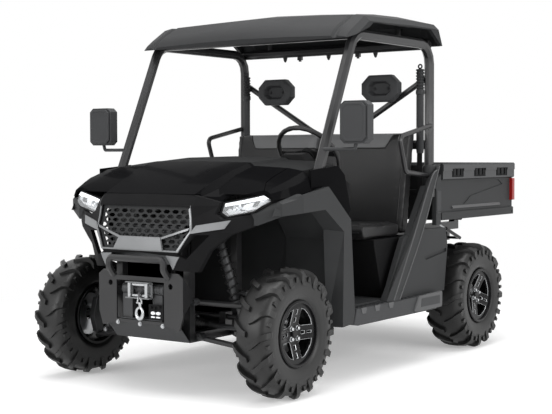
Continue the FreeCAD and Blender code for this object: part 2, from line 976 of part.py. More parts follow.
def build_winch():
    """The winch between the tow plates, its roller fairlead and the hook that hangs below."""
    ahead = "front_axle + tow_plate_ahead"
    line = f"{ahead} - tow_plate_thick - motor_high / 2 - seat_gap"
    drum = beam(
        "winch_drum_body",
        (line, "-motor_width * 1.45", "winch_height"),
        (line, "motor_width * 1.45", "winch_height"),
        "winch_drum * 0.8",
    )
    motors = [
        block(
            f"winch_motor_{number}",
            (f"{line} - motor_high / 2", f"{line} + motor_high / 2"),
            (low, high),
            ("winch_window_low + seat_gap", "winch_window_high - motor_high"),
        )
        for number, (low, high) in enumerate(
            (("motor_width / 2", "motor_width * 1.5"), ("-motor_width * 1.5", "-motor_width / 2"))
        )
    ]
    foot = block(
        "winch_foot",
        (f"{line} - motor_high / 2", f"{line} + motor_high / 2"),
        ("-motor_width * 1.5", "motor_width * 1.5"),
        ("winch_window_low + seat_gap", "winch_window_low + seat_gap + tow_plate_thick"),
    )
    low, high = "winch_height - fairlead_height / 2", "winch_height + fairlead_height / 2"
    frame_face = framed(((0, 0), (1, 0), (1, 1), (0, 1)), ("-fairlead_width / 2", "fairlead_width / 2"), (low, high))
    plate = slab("fairlead_plate", "YZ", frame_face, f"{line} + motor_high / 2 - overrun", "winch_face")
    inner = framed(
        ((0, 0), (1, 0), (1, 1), (0, 1)),
        ("-fairlead_width / 2 + fairlead_depth", "fairlead_width / 2 - fairlead_depth"),
        (f"{low} + fairlead_depth", f"{high} - fairlead_depth"),
    )
    window = slab("fairlead_window", "YZ", inner, line, "front_end + overrun")
    rollers = []
    roller_line = "winch_face - roller_radius - seat_gap"
    for number, way in enumerate("+-"):
        level = f"winch_height {way} (fairlead_height / 2 - fairlead_depth)"
        rollers.append(
            beam(
                f"roller_flat_{number}",
                (roller_line, "-fairlead_width / 2 + fairlead_depth / 2", level),
                (roller_line, "fairlead_width / 2 - fairlead_depth / 2", level),
                "roller_radius",
            )
        )
        side = f"{way}(fairlead_width / 2 - fairlead_depth)"
        rollers.append(
            beam(
                f"roller_upright_{number}",
                (roller_line, side, f"{low} + fairlead_depth / 2"),
                (roller_line, side, f"{high} - fairlead_depth / 2"),
                "roller_radius",
            )
        )
    shape = framed(HOOK_SHARES, ("0", "hook_width"), (f"{low} - hook_length + fairlead_depth", f"{low} + fairlead_depth"))
    hook = slab("winch_hook", "YZ", shape, "winch_face - hook_thick", "winch_face")
    whole = joined("winch_whole", [drum, foot, plate] + motors)
    node("winch", joined("winch_parts", [less("winch_open", whole, [window]), hook] + rollers))


def build_floor():
    """The cab's floor, its firewall and the tunnel over the drive shaft."""
    floor = block("floor_pan", ("cab_rear", "firewall"), ("-floor_half", "floor_half"), ("floor_under", "floor_top"))
    wall = block(
        "firewall_sheet",
        ("firewall - floor_thick", "firewall"),
        ("-floor_half", "floor_half"),
        ("floor_under", "cowl_low"),
    )
    tunnel = block("tunnel", ("cab_rear", "firewall"), ("-tunnel_half", "tunnel_half"), ("floor_under", "tunnel_top"))
    node("floor", joined("floor_whole", [floor, wall, tunnel]))


SILL_SHARES = ((0, 0.25), (0.05, 0), (0.95, 0), (1, 0.12), (0.97, 1), (0, 1))


def build_sills():
    """The steps along both sides of the floor."""
    front = "front_axle - fender_rear_behind - seat_gap"
    face = framed(SILL_SHARES, ("cab_rear - sill_bulge", front), ("sill_low", "sill_high"))
    node("sills", pair("sill_pair", slab("sill", "XZ", face, "floor_half + seat_gap", "body_half - sill_bulge / 2")))


def along_column(distance):
    """A place on the steering column, counted from the steering wheel's centre."""
    return (
        f"front_axle - wheel_behind + ({distance}) * lean_sine",
        "wheel_place",
        f"wheel_height - ({distance}) * lean_cosine",
    )


def build_dash():
    """The hollow dash across the cab."""
    shares = ((0, 0.1), (0.25, 0), (1, 0), (1, 1), (0.35, 1), (0, 0.75))
    face = framed(shares, ("front_axle - dash_rear_behind", "firewall - floor_thick"), ("dash_low", "cowl_low"))
    body = slab("dash_body", "XZ", face, "-dash_half", "dash_half")
    column = rod(
        "column", along_column("wheel_hub / 2 + seat_gap"), along_column("column_length"), "column_radius"
    )
    node("dash", joined("dash_whole", [body, column]))


COWL_REAR_SHARES = ((1, 0), (1, 0.6), (0.889, 0.74), (0.559, 0.83), (0.524, 0.93), (0, 1))
COWL_FRONT_SHARES = ((1, 0), (1, 0.33), (0.889, 0.463), (0.559, 0.556), (0.524, 0.713), (0, 0.769))


def build_cowl():
    """The creased cowl between the hood and the windscreen line."""
    stations = []
    for behind, shares in (("cowl_rear_behind", COWL_REAR_SHARES), ("cowl_front_behind", COWL_FRONT_SHARES)):
        left = framed(shares, ("0", "cowl_half"), ("cowl_low", "cowl_high"))
        stations.append((f"front_axle - {behind}", left + [(f"-({across})", up) for across, up in left[-2::-1]]))
    node("cowl", facet_loft("cowl_body", "YZ", stations))


# How far ahead the lens lies, row by row upward and outward
LAMP_ACROSS_SHARES = (0, 0.41, 0.78, 1)
LAMP_AHEAD_SHARES = ((1, 0.855, 0.777, 0.466), (0.829, 0.674, 0.632, 0.363), (0.622, 0.466, 0.451, 0.233))
LAMP_SHARES = ((0.046, 0.236), (0.18, 0.094), (0.672, 0.29), (0.957, 0.68), (0.779, 0.915), (0.045, 0.614))
LENS_SHARES = ((0.09, 0.27), (0.2, 0.15), (0.655, 0.35), (0.89, 0.69), (0.77, 0.83), (0.085, 0.56))
STRIP_SHARES = ((0.11, 0.47), (0.1, 0.53), (0.76, 0.79), (0.8, 0.74))


def on_lamp(shares):
    """Outline corners from their shares of the lamp's width and height."""
    return framed(shares, ("lamp_half_low", "lamp_half_high"), ("lamp_low", "lamp_high"))


def lamp_sheet(name, behind, thick, shares):
    """A sheet that follows the lens, set back by a distance and cut to an outline."""
    grid = []
    for rise, line in zip((0, 0.5, 1), LAMP_AHEAD_SHARES):
        level = f"lamp_low + (lamp_high - lamp_low) * {rise}"
        row = [
            (
                f"front_axle + lamp_ahead * {ahead} - ({behind})",
                f"lamp_half_low + (lamp_half_high - lamp_half_low) * {across}",
                level,
            )
            for across, ahead in zip(LAMP_ACROSS_SHARES, line)
        ]
        grid.append(row)
    sheet_body = sheet_over(name + "_sheet", grid, (f"-({thick})", "0", "0"))
    return within(name, sheet_body, nose_area(name + "_area", on_lamp(shares)))


HOOD_ALONG_SHARES = (0, 0.336, 0.652, 0.833, 1)
# Across the hood at each place along it: the middle, the crease's two edges, the wing and the rim
HOOD_STATION_SHARES = (
    ((0, 1), (0.539, 0.973), (0.575, 0.897), (0.686, 0.883), (0.817, 0.865), (0.915, 0.852)),
    ((0, 0.83), (0.52, 0.807), (0.564, 0.709), (0.686, 0.691), (0.817, 0.668), (0.915, 0.65)),
    ((0, 0.583), (0.49, 0.574), (0.539, 0.404), (0.649, 0.381), (0.817, 0.372), (1, 0.372)),
    ((0, 0.439), (0.482, 0.43), (0.515, 0.291), (0.649, 0.143), (0.817, 0.135), (0.915, 0.112)),
    ((0, 0.296), (0.471, 0.287), (0.49, 0.188), (0.649, 0.045), (0.735, 0.022), (0.817, 0)),
)
HOOD_PLAN_SHARES = ((0, 0.912), (0.46, 0.912), (0.64, 0.98), (0.782, 0.649), (0.995, 0.474), (1.05, 0))


def hood_plan(name, room):
    """The hood's outline seen from above, widened by some room, as a tall solid."""
    start = "front_axle - cowl_front_behind + hood_seam"
    end = "front_axle + hood_front_ahead"
    left = framed(HOOD_PLAN_SHARES, (f"{start} - ({room})", end), ("0", f"hood_wing + {room}"))
    plan = left + [(along, f"-({across})") for along, across in left[-2::-1]]
    return slab(name, "XY", plan, "hood_low - overrun", "hood_high + overrun")


def build_hood():
    """The creased hood, a shell that falls towards the nose and is open over the lamps."""
    start = "front_axle - cowl_front_behind + hood_seam"
    end = "front_axle + hood_front_ahead"
    grid = []
    for along, line in zip(HOOD_ALONG_SHARES, HOOD_STATION_SHARES):
        ahead = f"{start} + ({end} - ({start})) * {along}"
        rows = framed(line, ("0", "hood_wing"), ("hood_low", "hood_high"))
        grid.append(whole_row([(ahead, across, up) for across, up in rows]))
    shell = sheet_over("hood_sheet", grid, ("0", "0", "-hood_thick"))
    cover = within("hood_cover", shell, hood_plan("hood_plan", "0"))
    lamp_room = nose_area("hood_lamp_room", on_lamp(LAMP_SHARES))
    nose_room = nose_sheet("hood_nose_room", "-overrun", "fascia_thick + overrun + seat_gap")
    node("hood", less("hood_cut", cover, [lamp_room, mirrored(lamp_room), nose_room]))


def outline_pair(points):
    """A whole symmetrical outline from the corners of its left half, low to high."""
    return points + [(f"-({across})", up) for across, up in points[::-1]]


NOSE_ACROSS_SHARES = (0, 0.417, 0.5225, 0.687, 0.827, 1)
NOSE_RISE_SHARES = (0, 0.288, 0.525, 0.697, 0.86, 1)
# How far ahead each place of the nose lies, row by row upward and from the middle out
NOSE_AHEAD_SHARES = (
    (0.987, 0.968, 0.879, 0.683, 0.524, 0.317),
    (1, 0.981, 0.93, 0.721, 0.556, 0.349),
    (0.911, 0.905, 0.883, 0.762, 0.651, 0.397),
    (0.879, 0.873, 0.841, 0.683, 0.581, 0.359),
    (0.848, 0.838, 0.825, 0.556, 0.413, 0.286),
    (0.737, 0.73, 0.714, 0.435, 0.333, 0.238),
)
FASCIA_SHARES = (
    (0, 0.248), (0.306, 0.219), (0.379, 0.04), (0.574, 0.016), (0.666, 0.29), (0.822, 0.485), (0.969, 0.591),
    (0.985, 0.762), (0.744, 0.69), (0.676, 0.749), (0.682, 0.9), (0.502, 0.992), (0, 1),
)
GRILLE_SHARES = ((0.417, 0.288), (0.521, 0.544), (0.49, 0.842))
FASCIA_SLOT_SHARES = ((0.543, 0.493), (0.676, 0.493), (0.493, 0.179), (0.415, 0.235))
TUSK_SHARES = ((0.521, 0.507), (0.561, 0.612), (0.825, 0.681), (0.789, 0.573))
CORNER_SHARES = ((0.306, 0.222), (0.441, 0.211), (0.379, 0.045))
BAR_SHARES = ((0.275, 0.28), (0.23, 0.449))
RIB_SHARES = ((0.22, 0.414), (0.228, 0.446), (0.51, 0.58), (0.503, 0.548))


def nose_sheet(name, behind, thick):
    """A sheet that follows the nose's facets, set back from them by a distance."""
    grid = []
    for rise, line in zip(NOSE_RISE_SHARES, NOSE_AHEAD_SHARES):
        level = f"nose_low + (nose_high - nose_low) * {rise}"
        left = [
            (f"front_axle + nose_ahead * {ahead} - ({behind})", f"nose_half * {across}", level)
            for across, ahead in zip(NOSE_ACROSS_SHARES, line)
        ]
        grid.append(whole_row(left))
    return sheet_over(name, grid, (f"-({thick})", "0", "0"))


def nose_area(name, corners):
    """An outline on the nose as seen from ahead, as a solid that runs right through it."""
    return slab(name, "YZ", corners, "front_axle", "front_end + overrun")


def on_nose(shares):
    """Outline corners from their shares of the nose's half width and height."""
    return framed(shares, ("0", "nose_half"), ("nose_low", "nose_high"))


def inset(corners, amount):
    """The grille's left corners, low to high, moved inward by an amount."""
    (low_y, low_z), (middle_y, middle_z), (high_y, high_z) = corners
    return [
        (f"{low_y} - ({amount})", f"{low_z} + ({amount})"),
        (f"{middle_y} - ({amount})", middle_z),
        (f"{high_y} - ({amount})", f"{high_z} - ({amount})"),
    ]


def mesh_cells():
    """The six-sided holes of the grille in staggered rows, one column for each half pitch."""
    low_z, high_z = (f"nose_low + (nose_high - nose_low) * {GRILLE_SHARES[i][1]}" for i in (0, 2))
    half_wide = f"nose_half * {GRILLE_SHARES[1][0]}"
    rows = int(size(f"({high_z} - ({low_z})) / cell_rise"))
    columns = int(size(f"({half_wide}) / cell_pitch")) + 1
    cells = []
    for row in range(rows):
        level = f"{low_z} + cell_rise * {row + 0.7}"
        for column in range(-columns, columns + 1):
            middle = f"cell_pitch * {column + 0.5 * (row % 2)}"
            shape = [
                (f"{middle} + (cell_pitch - cell_wall) * {across}", f"{level} + (cell_rise - cell_wall / 2) * {up}")
                for across, up in ((0.5, 0), (0.25, 0.5), (-0.25, 0.5), (-0.5, 0), (-0.25, -0.5), (0.25, -0.5))
            ]
            spots = [Vector(size("front_axle"), size(across), size(up)) for across, up in shape]
            cells.append(facet(spots).extrude(Vector(size("front_overhang"), 0, 0)))
    holes = doc.addObject("Part::Feature", "mesh_cells")
    holes.Shape = Part.makeCompound(cells)
    return holes


def build_fascia():
    """The faceted front mask with its grille opening, the honeycomb mesh and the satin trim."""
    grille = on_nose(GRILLE_SHARES)
    hole = nose_area("mask_hole", outline_pair(grille))
    slot = nose_area("mask_slot", on_nose(FASCIA_SLOT_SHARES))
    mask = within(
        "mask", nose_sheet("mask_sheet", "0", "fascia_thick"), nose_area("mask_area", closed_pair(on_nose(FASCIA_SHARES)))
    )
    boss = block(
        "mask_boss_block",
        ("front_axle + tower_front + seat_gap", "front_axle + tower_front + mask_boss"),
        ("rail_inside", "rail_outside"),
        ("mask_seat_low", "mask_seat_high"),
    )
    slotted = less("mask_slotted", mask, [hole, slot, mirrored(slot)])
    node("fascia", joined("fascia_whole", [slotted, boss, mirrored(boss)]))

    inner = nose_area("mesh_area", outline_pair(inset(grille, "seat_gap")))
    panel = within("mesh_panel", nose_sheet("mesh_sheet", "grille_depth", "grille_thick"), inner)
    rim_room = nose_area("mesh_rim_room", outline_pair(inset(grille, "cell_wall")))
    node("grille", less("mesh", panel, [within("mesh_holes", mesh_cells(), rim_room)]))

    ring = less(
        "trim_ring",
        nose_area("trim_ring_outer", outline_pair(inset(grille, "-trim_line"))),
        [nose_area("trim_ring_inner", outline_pair(inset(grille, "0")))],
    )
    left = [
        nose_area(name, on_nose(shares))
        for name, shares in (("trim_tusk", TUSK_SHARES), ("trim_corner", CORNER_SHARES), ("trim_rib", RIB_SHARES))
    ]
    flat = joined("trim_area", [ring] + left + [mirrored(piece) for piece in left])
    line = within("trim_line_sheet", nose_sheet("trim_sheet", "-trim_proud - seat_gap", "trim_proud"), flat)
    bar = within(
        "trim_bar",
        nose_sheet("trim_bar_sheet", "-trim_bar_proud", "trim_bar_proud - seat_gap"),
        nose_area("trim_bar_area", outline_pair(on_nose(BAR_SHARES))),
    )
    node("nose_trim", joined("nose_trim_whole", [line, bar]))


def build_headlamps():
    """The two headlamps, which sweep back along the hood's edge, each with its light strip."""
    case = lamp_sheet("lamp_case", "0", "lamp_thick", LAMP_SHARES)
    recess = lamp_sheet("lamp_lens", "-overrun", "lamp_recess + overrun", LENS_SHARES)
    strip = lamp_sheet("lamp_bar", "lamp_recess - lamp_strip", "lamp_strip + seat_gap", STRIP_SHARES)
    node("headlamps", pair("lamp_pair", joined("lamp", [less("lamp_open", case, [recess]), strip])))


# The fender's top from the cowl forward: each place along it, then across and up from the hood's seam out
FENDER_ALONG_SHARES = (0, 0.515, 0.744, 1)
FENDER_STATION_SHARES = (
    ((0, 0.967), (0.65, 0.912), (0.909, 0.784), (1, 0.564)),
    ((0, 0.799), (0.65, 0.755), (0.895, 0.656), (1, 0.473)),
    ((0, 0.696), (0.545, 0.674), (0.755, 0.593), (0.839, 0.447)),
    ((0.31, 0.575), (0.42, 0.571), (0.545, 0.527), (0.65, 0.418)),
)
FENDER_PANEL_SHARES = ((1.03, 0.93), (0.34, 1), (0.164, 0.828), (0, 0.165), (0.139, 0), (0.757, 0.63), (1.03, 0.58))
FLARE_OUTER_SHARES = (
    (0.756, 0.948), (0.414, 0.994), (0.094, 0.755), (0.036, 0.088), (0.06, 0.01), (0.215, 0),
    (0.196, 0.674), (0.462, 0.837), (0.756, 0.823),
)
FLARE_INNER_SHARES = (
    (0.91, 0.9), (0.402, 0.985), (0.076, 0.774), (0.017, 0.093), (0.042, 0.01), (0.249, 0), (0.292, 0.69),
    (0.47, 0.823), (0.975, 0.805),
)
# The flare's pointed front: each place along it, then across and up
FLARE_TIP_ALONG_SHARES = (0.756, 0.91, 1)
FLARE_TIP_SHARES = (
    ((-0.06, 0.823), (1, 0.823), (1, 0.928), (0.8, 0.951), (-0.06, 0.951)),
    ((-0.83, 0.805), (0.35, 0.805), (0.35, 0.886), (0.14, 0.902), (-0.83, 0.902)),
    ((-1.4, 0.743), (-0.89, 0.743), (-0.83, 0.809), (-0.94, 0.826), (-1.4, 0.826)),
)
LINER_SHARES = ((0, 0), (0, 0.7), (0.33, 1), (1, 1))


def build_fenders():
    """The painted fenders beside the hood, each with its panel down to the doorway."""
    rear = "front_axle - cowl_front_behind"
    front = "front_axle + fender_front_ahead"
    grid = []
    for along, line in zip(FENDER_ALONG_SHARES, FENDER_STATION_SHARES):
        ahead = f"{rear} + ({front} - ({rear})) * {along}"
        rows = framed(line, ("fender_inside", "fender_side"), ("fender_low", "fender_high"))
        grid.append([(ahead, across, up) for across, up in rows])
    sheet = sheet_over("fender_top", grid, ("0", "-fender_thick / 2", "-fender_thick"))
    top = less("fender_top_cut", sheet, [hood_plan("fender_hood_room", "hood_seam"), NODES["hood"], NODES["headlamps"]])
    face = framed(FENDER_PANEL_SHARES, ("front_axle - fender_rear_behind", rear), ("fender_low", "fender_high"))
    panel = slab("fender_panel", "XZ", face, "fender_side - fender_thick", "fender_side")
    node("fenders", pair("fender_pair", joined("fender", [top, panel])))


def build_flares():
    """The plastic flares round the front wheels and the liners inside them."""
    rear = "front_axle - fender_rear_behind"
    front = "front_axle + flare_front_ahead"
    up = ("flare_low", "flare_high")
    stations = [
        ("flare_inside", framed(FLARE_INNER_SHARES, (rear, front), up)),
        ("body_half", framed(FLARE_OUTER_SHARES, (rear, front), up)),
    ]
    flare = facet_loft("flare", "XZ", stations)
    stations = [
        (f"{rear} + ({front} - ({rear})) * {along}", framed(line, ("flare_inside", "body_half"), up))
        for along, line in zip(FLARE_TIP_ALONG_SHARES, FLARE_TIP_SHARES)
    ]
    tip = facet_loft("flare_tip", "YZ", stations)
    ends = ("firewall + seat_gap", "front_axle - liner_front_behind")
    outer = framed(LINER_SHARES, ends, ("liner_low", "liner_high"))
    inner = [
        (outer[0][0] + " + liner_thick", outer[0][1]),
        (outer[1][0] + " + liner_thick", outer[1][1]),
        (outer[2][0] + " + liner_thick / 2", outer[2][1] + " - liner_thick"),
        (outer[3][0], outer[3][1] + " - liner_thick"),
    ]
    liner = slab("liner", "XZ", outer + inner[::-1], "liner_inside", "flare_inside + liner_thick")
    whole = joined("flare_whole", [flare, tip, liner])
    lamp_room = nose_area("flare_lamp_room", on_lamp(LAMP_SHARES))
    rooms = [flare_room(), lamp_room, NODES["fascia"], NODES["fenders"]]
    trimmed = less("flare_clear", whole, rooms)
    node("flares", pair("flare_pair", trimmed))


def flare_room():
    """The room that the painted fender takes above the flare."""
    face = framed(
        FENDER_PANEL_SHARES, ("front_axle - fender_rear_behind", "front_axle - cowl_front_behind"),
        ("fender_low", "fender_high"),
    )
    low, high = "fender_side - fender_thick - seat_gap", "fender_side + seat_gap"
    return slab("flare_room", "XZ", face, low, high)


# The slanted bar, the cheek beside the seat and the lower rear panel with its slot, in the side view
SLANT_SHARES = (
    (0.156, 1), (0.464, 0.486), (0.901, -0.054), (1, -0.027), (0.626, 0.476), (0.337, 0.883),
)
CHEEK_SHARES = (
    (0.055, 0), (0, 0.351), (0.035, 0.496), (0.491, 0.5), (0.699, 0.451), (0.82, 0.249), (0.96, 0),
)
SIDE_SLOT_SHARES = ((0.384, 0.286), (0.024, 0.334), (0.023, 0.305), (0.35, 0.262))


def build_sides():
    """The side panels behind the doorways, with the bar that slants down to the sill."""
    frame_view = (("rear_axle + side_rear_ahead", "rear_axle + side_front_ahead"), ("sill_high + seat_gap", "side_high"))
    low = "floor_half + seat_gap"
    cheek = slab("side_cheek", "XZ", framed(CHEEK_SHARES, *frame_view), low, "side_half - slot_depth")
    stations = [
        (low, framed(SLANT_SHARES, *frame_view)),
        ("side_half", framed(SLANT_SHARES, *frame_view)),
        ("side_half + bar_proud", drawn_in(framed(SLANT_SHARES, *frame_view), 0.12)),
    ]
    bar = facet_loft("side_bar", "XZ", stations)
    slot = slab("side_slot", "XZ", framed(SIDE_SLOT_SHARES, *frame_view), "side_half - slot_depth * 2", "side_half")
    sill_room = block(
        "side_sill_room",
        ("cab_rear - sill_bulge - overrun", "front_axle"),
        ("0", "body_half"),
        ("0", "sill_high + seat_gap"),
    )
    hoop_room = block(
        "side_hoop_room",
        ("hoop - cage_tube * 1.3", "hoop + cage_tube * 1.3"),
        ("0", "cage_half + cage_tube * 1.3"),
        ("cab_rail_low - seat_gap", "side_high + overrun"),
    )
    grab_room = block(
        "side_grab_room",
        ("hoop", "hoop + cage_tube * 4"),
        ("0", "cage_half + grab_tube * 2.3"),
        ("grab_low - cage_tube", "side_high + overrun"),
    )
    rooms = [sill_room, hoop_room, grab_room]
    whole = less("side_cut", joined("side_whole", [less("cheek_cut", cheek, [slot]), bar]), rooms)
    node("side_panels", pair("side_pair", whole))


def drawn_in(corners, share):
    """An outline moved along the vehicle by a share of the way to its own middle."""
    middle = " + ".join(f"({along})" for along, _ in corners)
    return [(f"({along}) * {1 - share} + ({middle}) * {share} / {len(corners)}", up) for along, up in corners]


SEAT_BASE_SHARES = ((0, 0), (0.8, 0), (1, 0.9), (1, 1), (0, 1))
CUSHION_SHARES = ((0, 0), (0.95, 0), (1, 0.3), (0.98, 0.85), (0.9, 1), (0, 0.95))


def build_seats():
    """The seat box, the two cushions, the two backrests and the headrests."""
    base = framed(
        SEAT_BASE_SHARES,
        ("rear_axle + seat_base_rear_ahead", "rear_axle + seat_base_front_ahead"),
        ("floor_top", "cushion_low - seat_gap"),
    )
    box = slab("seat_box", "XZ", base, "-seat_half", "seat_half")
    clear = block(
        "tunnel_room",
        ("cab_rear - overrun", "firewall"),
        ("-tunnel_half - seat_gap", "tunnel_half + seat_gap"),
        ("floor_top - overrun", "tunnel_top + seat_gap"),
    )
    node("seat_base", less("seat_base_cut", box, [clear]))
    face = framed(
        CUSHION_SHARES,
        ("back_foot + back_thick + seat_gap", "rear_axle + cushion_front_ahead"),
        ("cushion_low", "cushion_high"),
    )
    node(
        "seat_cushion",
        gathered(
            "cushions",
            [
                slab("cushion_left", "XZ", face, "cushion_split / 2", "seat_half"),
                slab("cushion_right", "XZ", face, "-seat_half", "-cushion_split / 2"),
            ],
        ),
    )
    front = "rear_axle + back_top_ahead + back_thick"
    rear = "rear_axle + back_top_ahead"
    corners = [
        ("back_foot", "cushion_low"),
        ("back_foot + back_thick", "cushion_low"),
        (f"{front} + back_lean * 0.2", "cushion_low + (back_high - cushion_low) * 0.8"),
        (front, "back_high"),
        (rear, "back_high"),
    ]
    node(
        "seat_backs",
        gathered(
            "backs",
            [
                slab("back_left", "XZ", corners, "cushion_split / 2", "seat_half"),
                slab("back_right", "XZ", corners, "-seat_half", "-cushion_split / 2"),
            ],
        ),
    )
    shares = ((0.2, 0), (0.8, 0), (1, 0.3), (1, 0.7), (0.8, 1), (0.2, 1), (0, 0.7), (0, 0.3))
    shape = framed(shares, ("head_inner", "head_outer"), ("head_low", "head_high"))
    head_back = "hoop + brace_tube + seat_gap"
    head = slab("head", "YZ", shape, head_back, f"{head_back} + head_thick")
    node("headrests", pair("head_pair", head))


def build_cage():
    """The roll cage: side tubes, the rear hoop's bars and braces, and the grab bars."""
    base = ("front_axle - pillar_base_behind", "cage_half", "cowl_low - overrun")
    top = ("front_axle - pillar_top_behind", "cage_half", "cage_top")
    rear_top = ("hoop", "cage_half", "cage_top")
    foot = ("hoop", "cage_half", "cab_rail_low + rail_depth + seat_gap")
    side = tube("cage_side", (base, top, rear_top, foot), "cage_tube", "bend_radius")
    brace = beam("cage_brace", ("hoop", "cage_half", "brace_high"), ("hoop", "0", "brace_low"), "brace_tube")
    grab_line = "cage_half + grab_tube"
    grab_route = (
        ("hoop", grab_line, "grab_top"),
        ("rear_axle + grab_front_ahead", grab_line, "grab_elbow"),
        ("rear_axle + grab_foot_ahead", grab_line, "grab_foot"),
        ("hoop", grab_line, "grab_low + cage_tube"),
    )
    grab = tube("grab_bar", grab_route, "grab_tube", "grab_tube * 2.5")
    pieces = [side, brace, grab]
    pieces += [mirrored(piece) for piece in (side, brace, grab)]
    for name, x, half, height in (
        ("cage_front_bar", "front_axle - pillar_top_behind", "cage_half", "cage_top"),
        ("cage_rear_bar", "hoop", "cage_half", "cage_top"),
        ("cage_low_bar", "hoop", "cage_half", "brace_low"),
    ):
        pieces.append(beam(name, (x, f"-({half})", height), (x, half, height), "cage_tube"))
    stands = (("roof_stand_front", "front_axle - pillar_top_behind", 0.46), ("roof_stand_rear", "hoop", 0.74))
    for name, x, share in stands:
        top = f"roof_low + roof_rise * {share}"
        stand = beam(name, (x, "cage_half * 0.7", "cage_top"), (x, "cage_half * 0.7", top), "grab_tube")
        pieces += [stand, mirrored(stand)]
    below = block(
        "below_shelf",
        ("front_axle - pillar_base_behind - cage_tube * 3", "front_axle"),
        ("-body_half", "body_half"),
        ("cowl_low - shelf_thick * 2", "cowl_low"),
    )
    node("roll_cage", less("cage_cut", joined("cage_whole", pieces), [NODES["roof"], below]))


# Along the roof from its rear edge, with its height at the middle and towards the sides
ROOF_ALONG_SHARES = (0, 0.06, 0.14, 0.39, 0.64, 0.82, 0.931, 0.976, 1)
ROOF_MIDDLE_SHARES = (0.62, 0.805, 0.937, 1, 0.963, 0.805, 0.516, 0.332, 0.147)
ROOF_SIDE_SHARES = (0.15, 0.753, 0.758, 0.747, 0.7, 0.679, 0.316, 0.147, 0.016)
# Across the roof from its middle: the place, the share of the way to the side's height and the drop in grooves
ROOF_ACROSS_SHARES = (
    (0, 0, 0), (0.42, 0.2, 0), (0.82, 0.55, 0), (0.842, 0.58, 1), (0.862, 0.58, 1), (0.88, 0.6, 0),
    (0.955, 1, 0), (1, 1, 2.6),
)
ROOF_UNDER_SHARES = ((0, 0.121), (0.026, 0.126), (0.151, 0.558), (0.779, 0.5), (0.82, 0.353), (1, 0))


def roof_shell(name, lower):
    """The room under the roof's outer face, lowered by a distance."""
    rear, front = "roof_rear", "roof_front"
    grid = []
    for along, middle, side in zip(ROOF_ALONG_SHARES, ROOF_MIDDLE_SHARES, ROOF_SIDE_SHARES):
        ahead = f"{rear} + ({front} - ({rear})) * {along}"
        left = [
            (
                ahead,
                f"roof_half * {across}",
                f"roof_low + roof_rise * {round(middle + (side - middle) * way, 4)} - roof_groove * {drop} - ({lower})",
            )
            for across, way, drop in ROOF_ACROSS_SHARES
        ]
        grid.append(whole_row(left))
    return sheet_over(name, grid, ("0", "0", "-roof_rise * 1.2"))


def build_roof():
    """The moulded roof, a grooved shell with its rim turned down all round."""
    under = framed(ROOF_UNDER_SHARES, ("roof_rear", "roof_front"), ("roof_low", "roof_high"))
    over = [("roof_front", "roof_high + overrun"), ("roof_rear", "roof_high + overrun")]
    side_view = slab("roof_side_view", "XZ", under + over, "-roof_half", "roof_half")
    whole = within("roof_whole", roof_shell("roof_outer", "0"), side_view)
    inside = block(
        "roof_inside",
        ("roof_rear + roof_rim", "roof_front - roof_rim * 2"),
        ("-roof_half + roof_rim", "roof_half - roof_rim"),
        ("roof_low - roof_rise", "roof_high"),
    )
    room = within("roof_room", roof_shell("roof_inner", "roof_thick"), inside)
    node("roof", less("roof_cut", whole, [room]))


def build_mirrors():
    """The two mirrors on arms from the front pillars."""
    shares = ((0.15, 0), (0.85, 0), (1, 0.1), (1, 0.9), (0.85, 1), (0.15, 1), (0, 0.9), (0, 0.1))
    shape = framed(
        shares,
        ("mirror_place - mirror_width / 2", "mirror_place + mirror_width / 2"),
        ("mirror_low", "mirror_high"),
    )
    middle = "front_axle - mirror_behind"
    head = slab("mirror_head", "YZ", shape, f"{middle} - mirror_thick / 2", f"{middle} + mirror_thick / 2")
    level = "mirror_low - mirror_arm * 3"
    pillar = ("front_axle - pillar_base_behind - mirror_thick", "cage_half", level)
    arm = tube(
        "mirror_stalk",
        (pillar, (middle, "mirror_place - mirror_arm", level), (middle, "mirror_place", "mirror_low + mirror_arm")),
        "mirror_arm",
        "mirror_arm * 1.5",
    )
    mirror = less("mirror_cut", joined("mirror", [head, arm]), [doc.getObject("cage_side")])
    node("mirrors", pair("mirror_pair", mirror))


def arm_pair(name, axle, pin, inner_height, outer_height, inner_spread):
    """Two bars from the frame that meet under or over a wheel's pin, with their ball stud."""
    meet = (axle, pin, outer_height)
    pieces = [
        beam(f"{name}_leg_{number}", (f"{axle} {way} {inner_spread}", "rail_inside", inner_height), meet, "arm_tube")
        for number, way in enumerate("+-")
    ]
    way = "-" if name.endswith("low") else "+"
    stud_end = (axle, pin, f"hub_height {way} (knuckle_half_height + seat_gap)")
    pieces.append(beam(f"{name}_stud", meet, stud_end, "arm_tube * 0.6"))
    frame_room = block(
        f"{name}_room",
        (f"{axle} - tower_back - overrun", f"{axle} + tower_front + overrun"),
        ("0", "rail_outside + seat_gap"),
        ("0", "tower_top"),
    )
    return less(f"{name}_arm", joined(f"{name}_bars", pieces), [frame_room])


SHOCK_COILS = 6


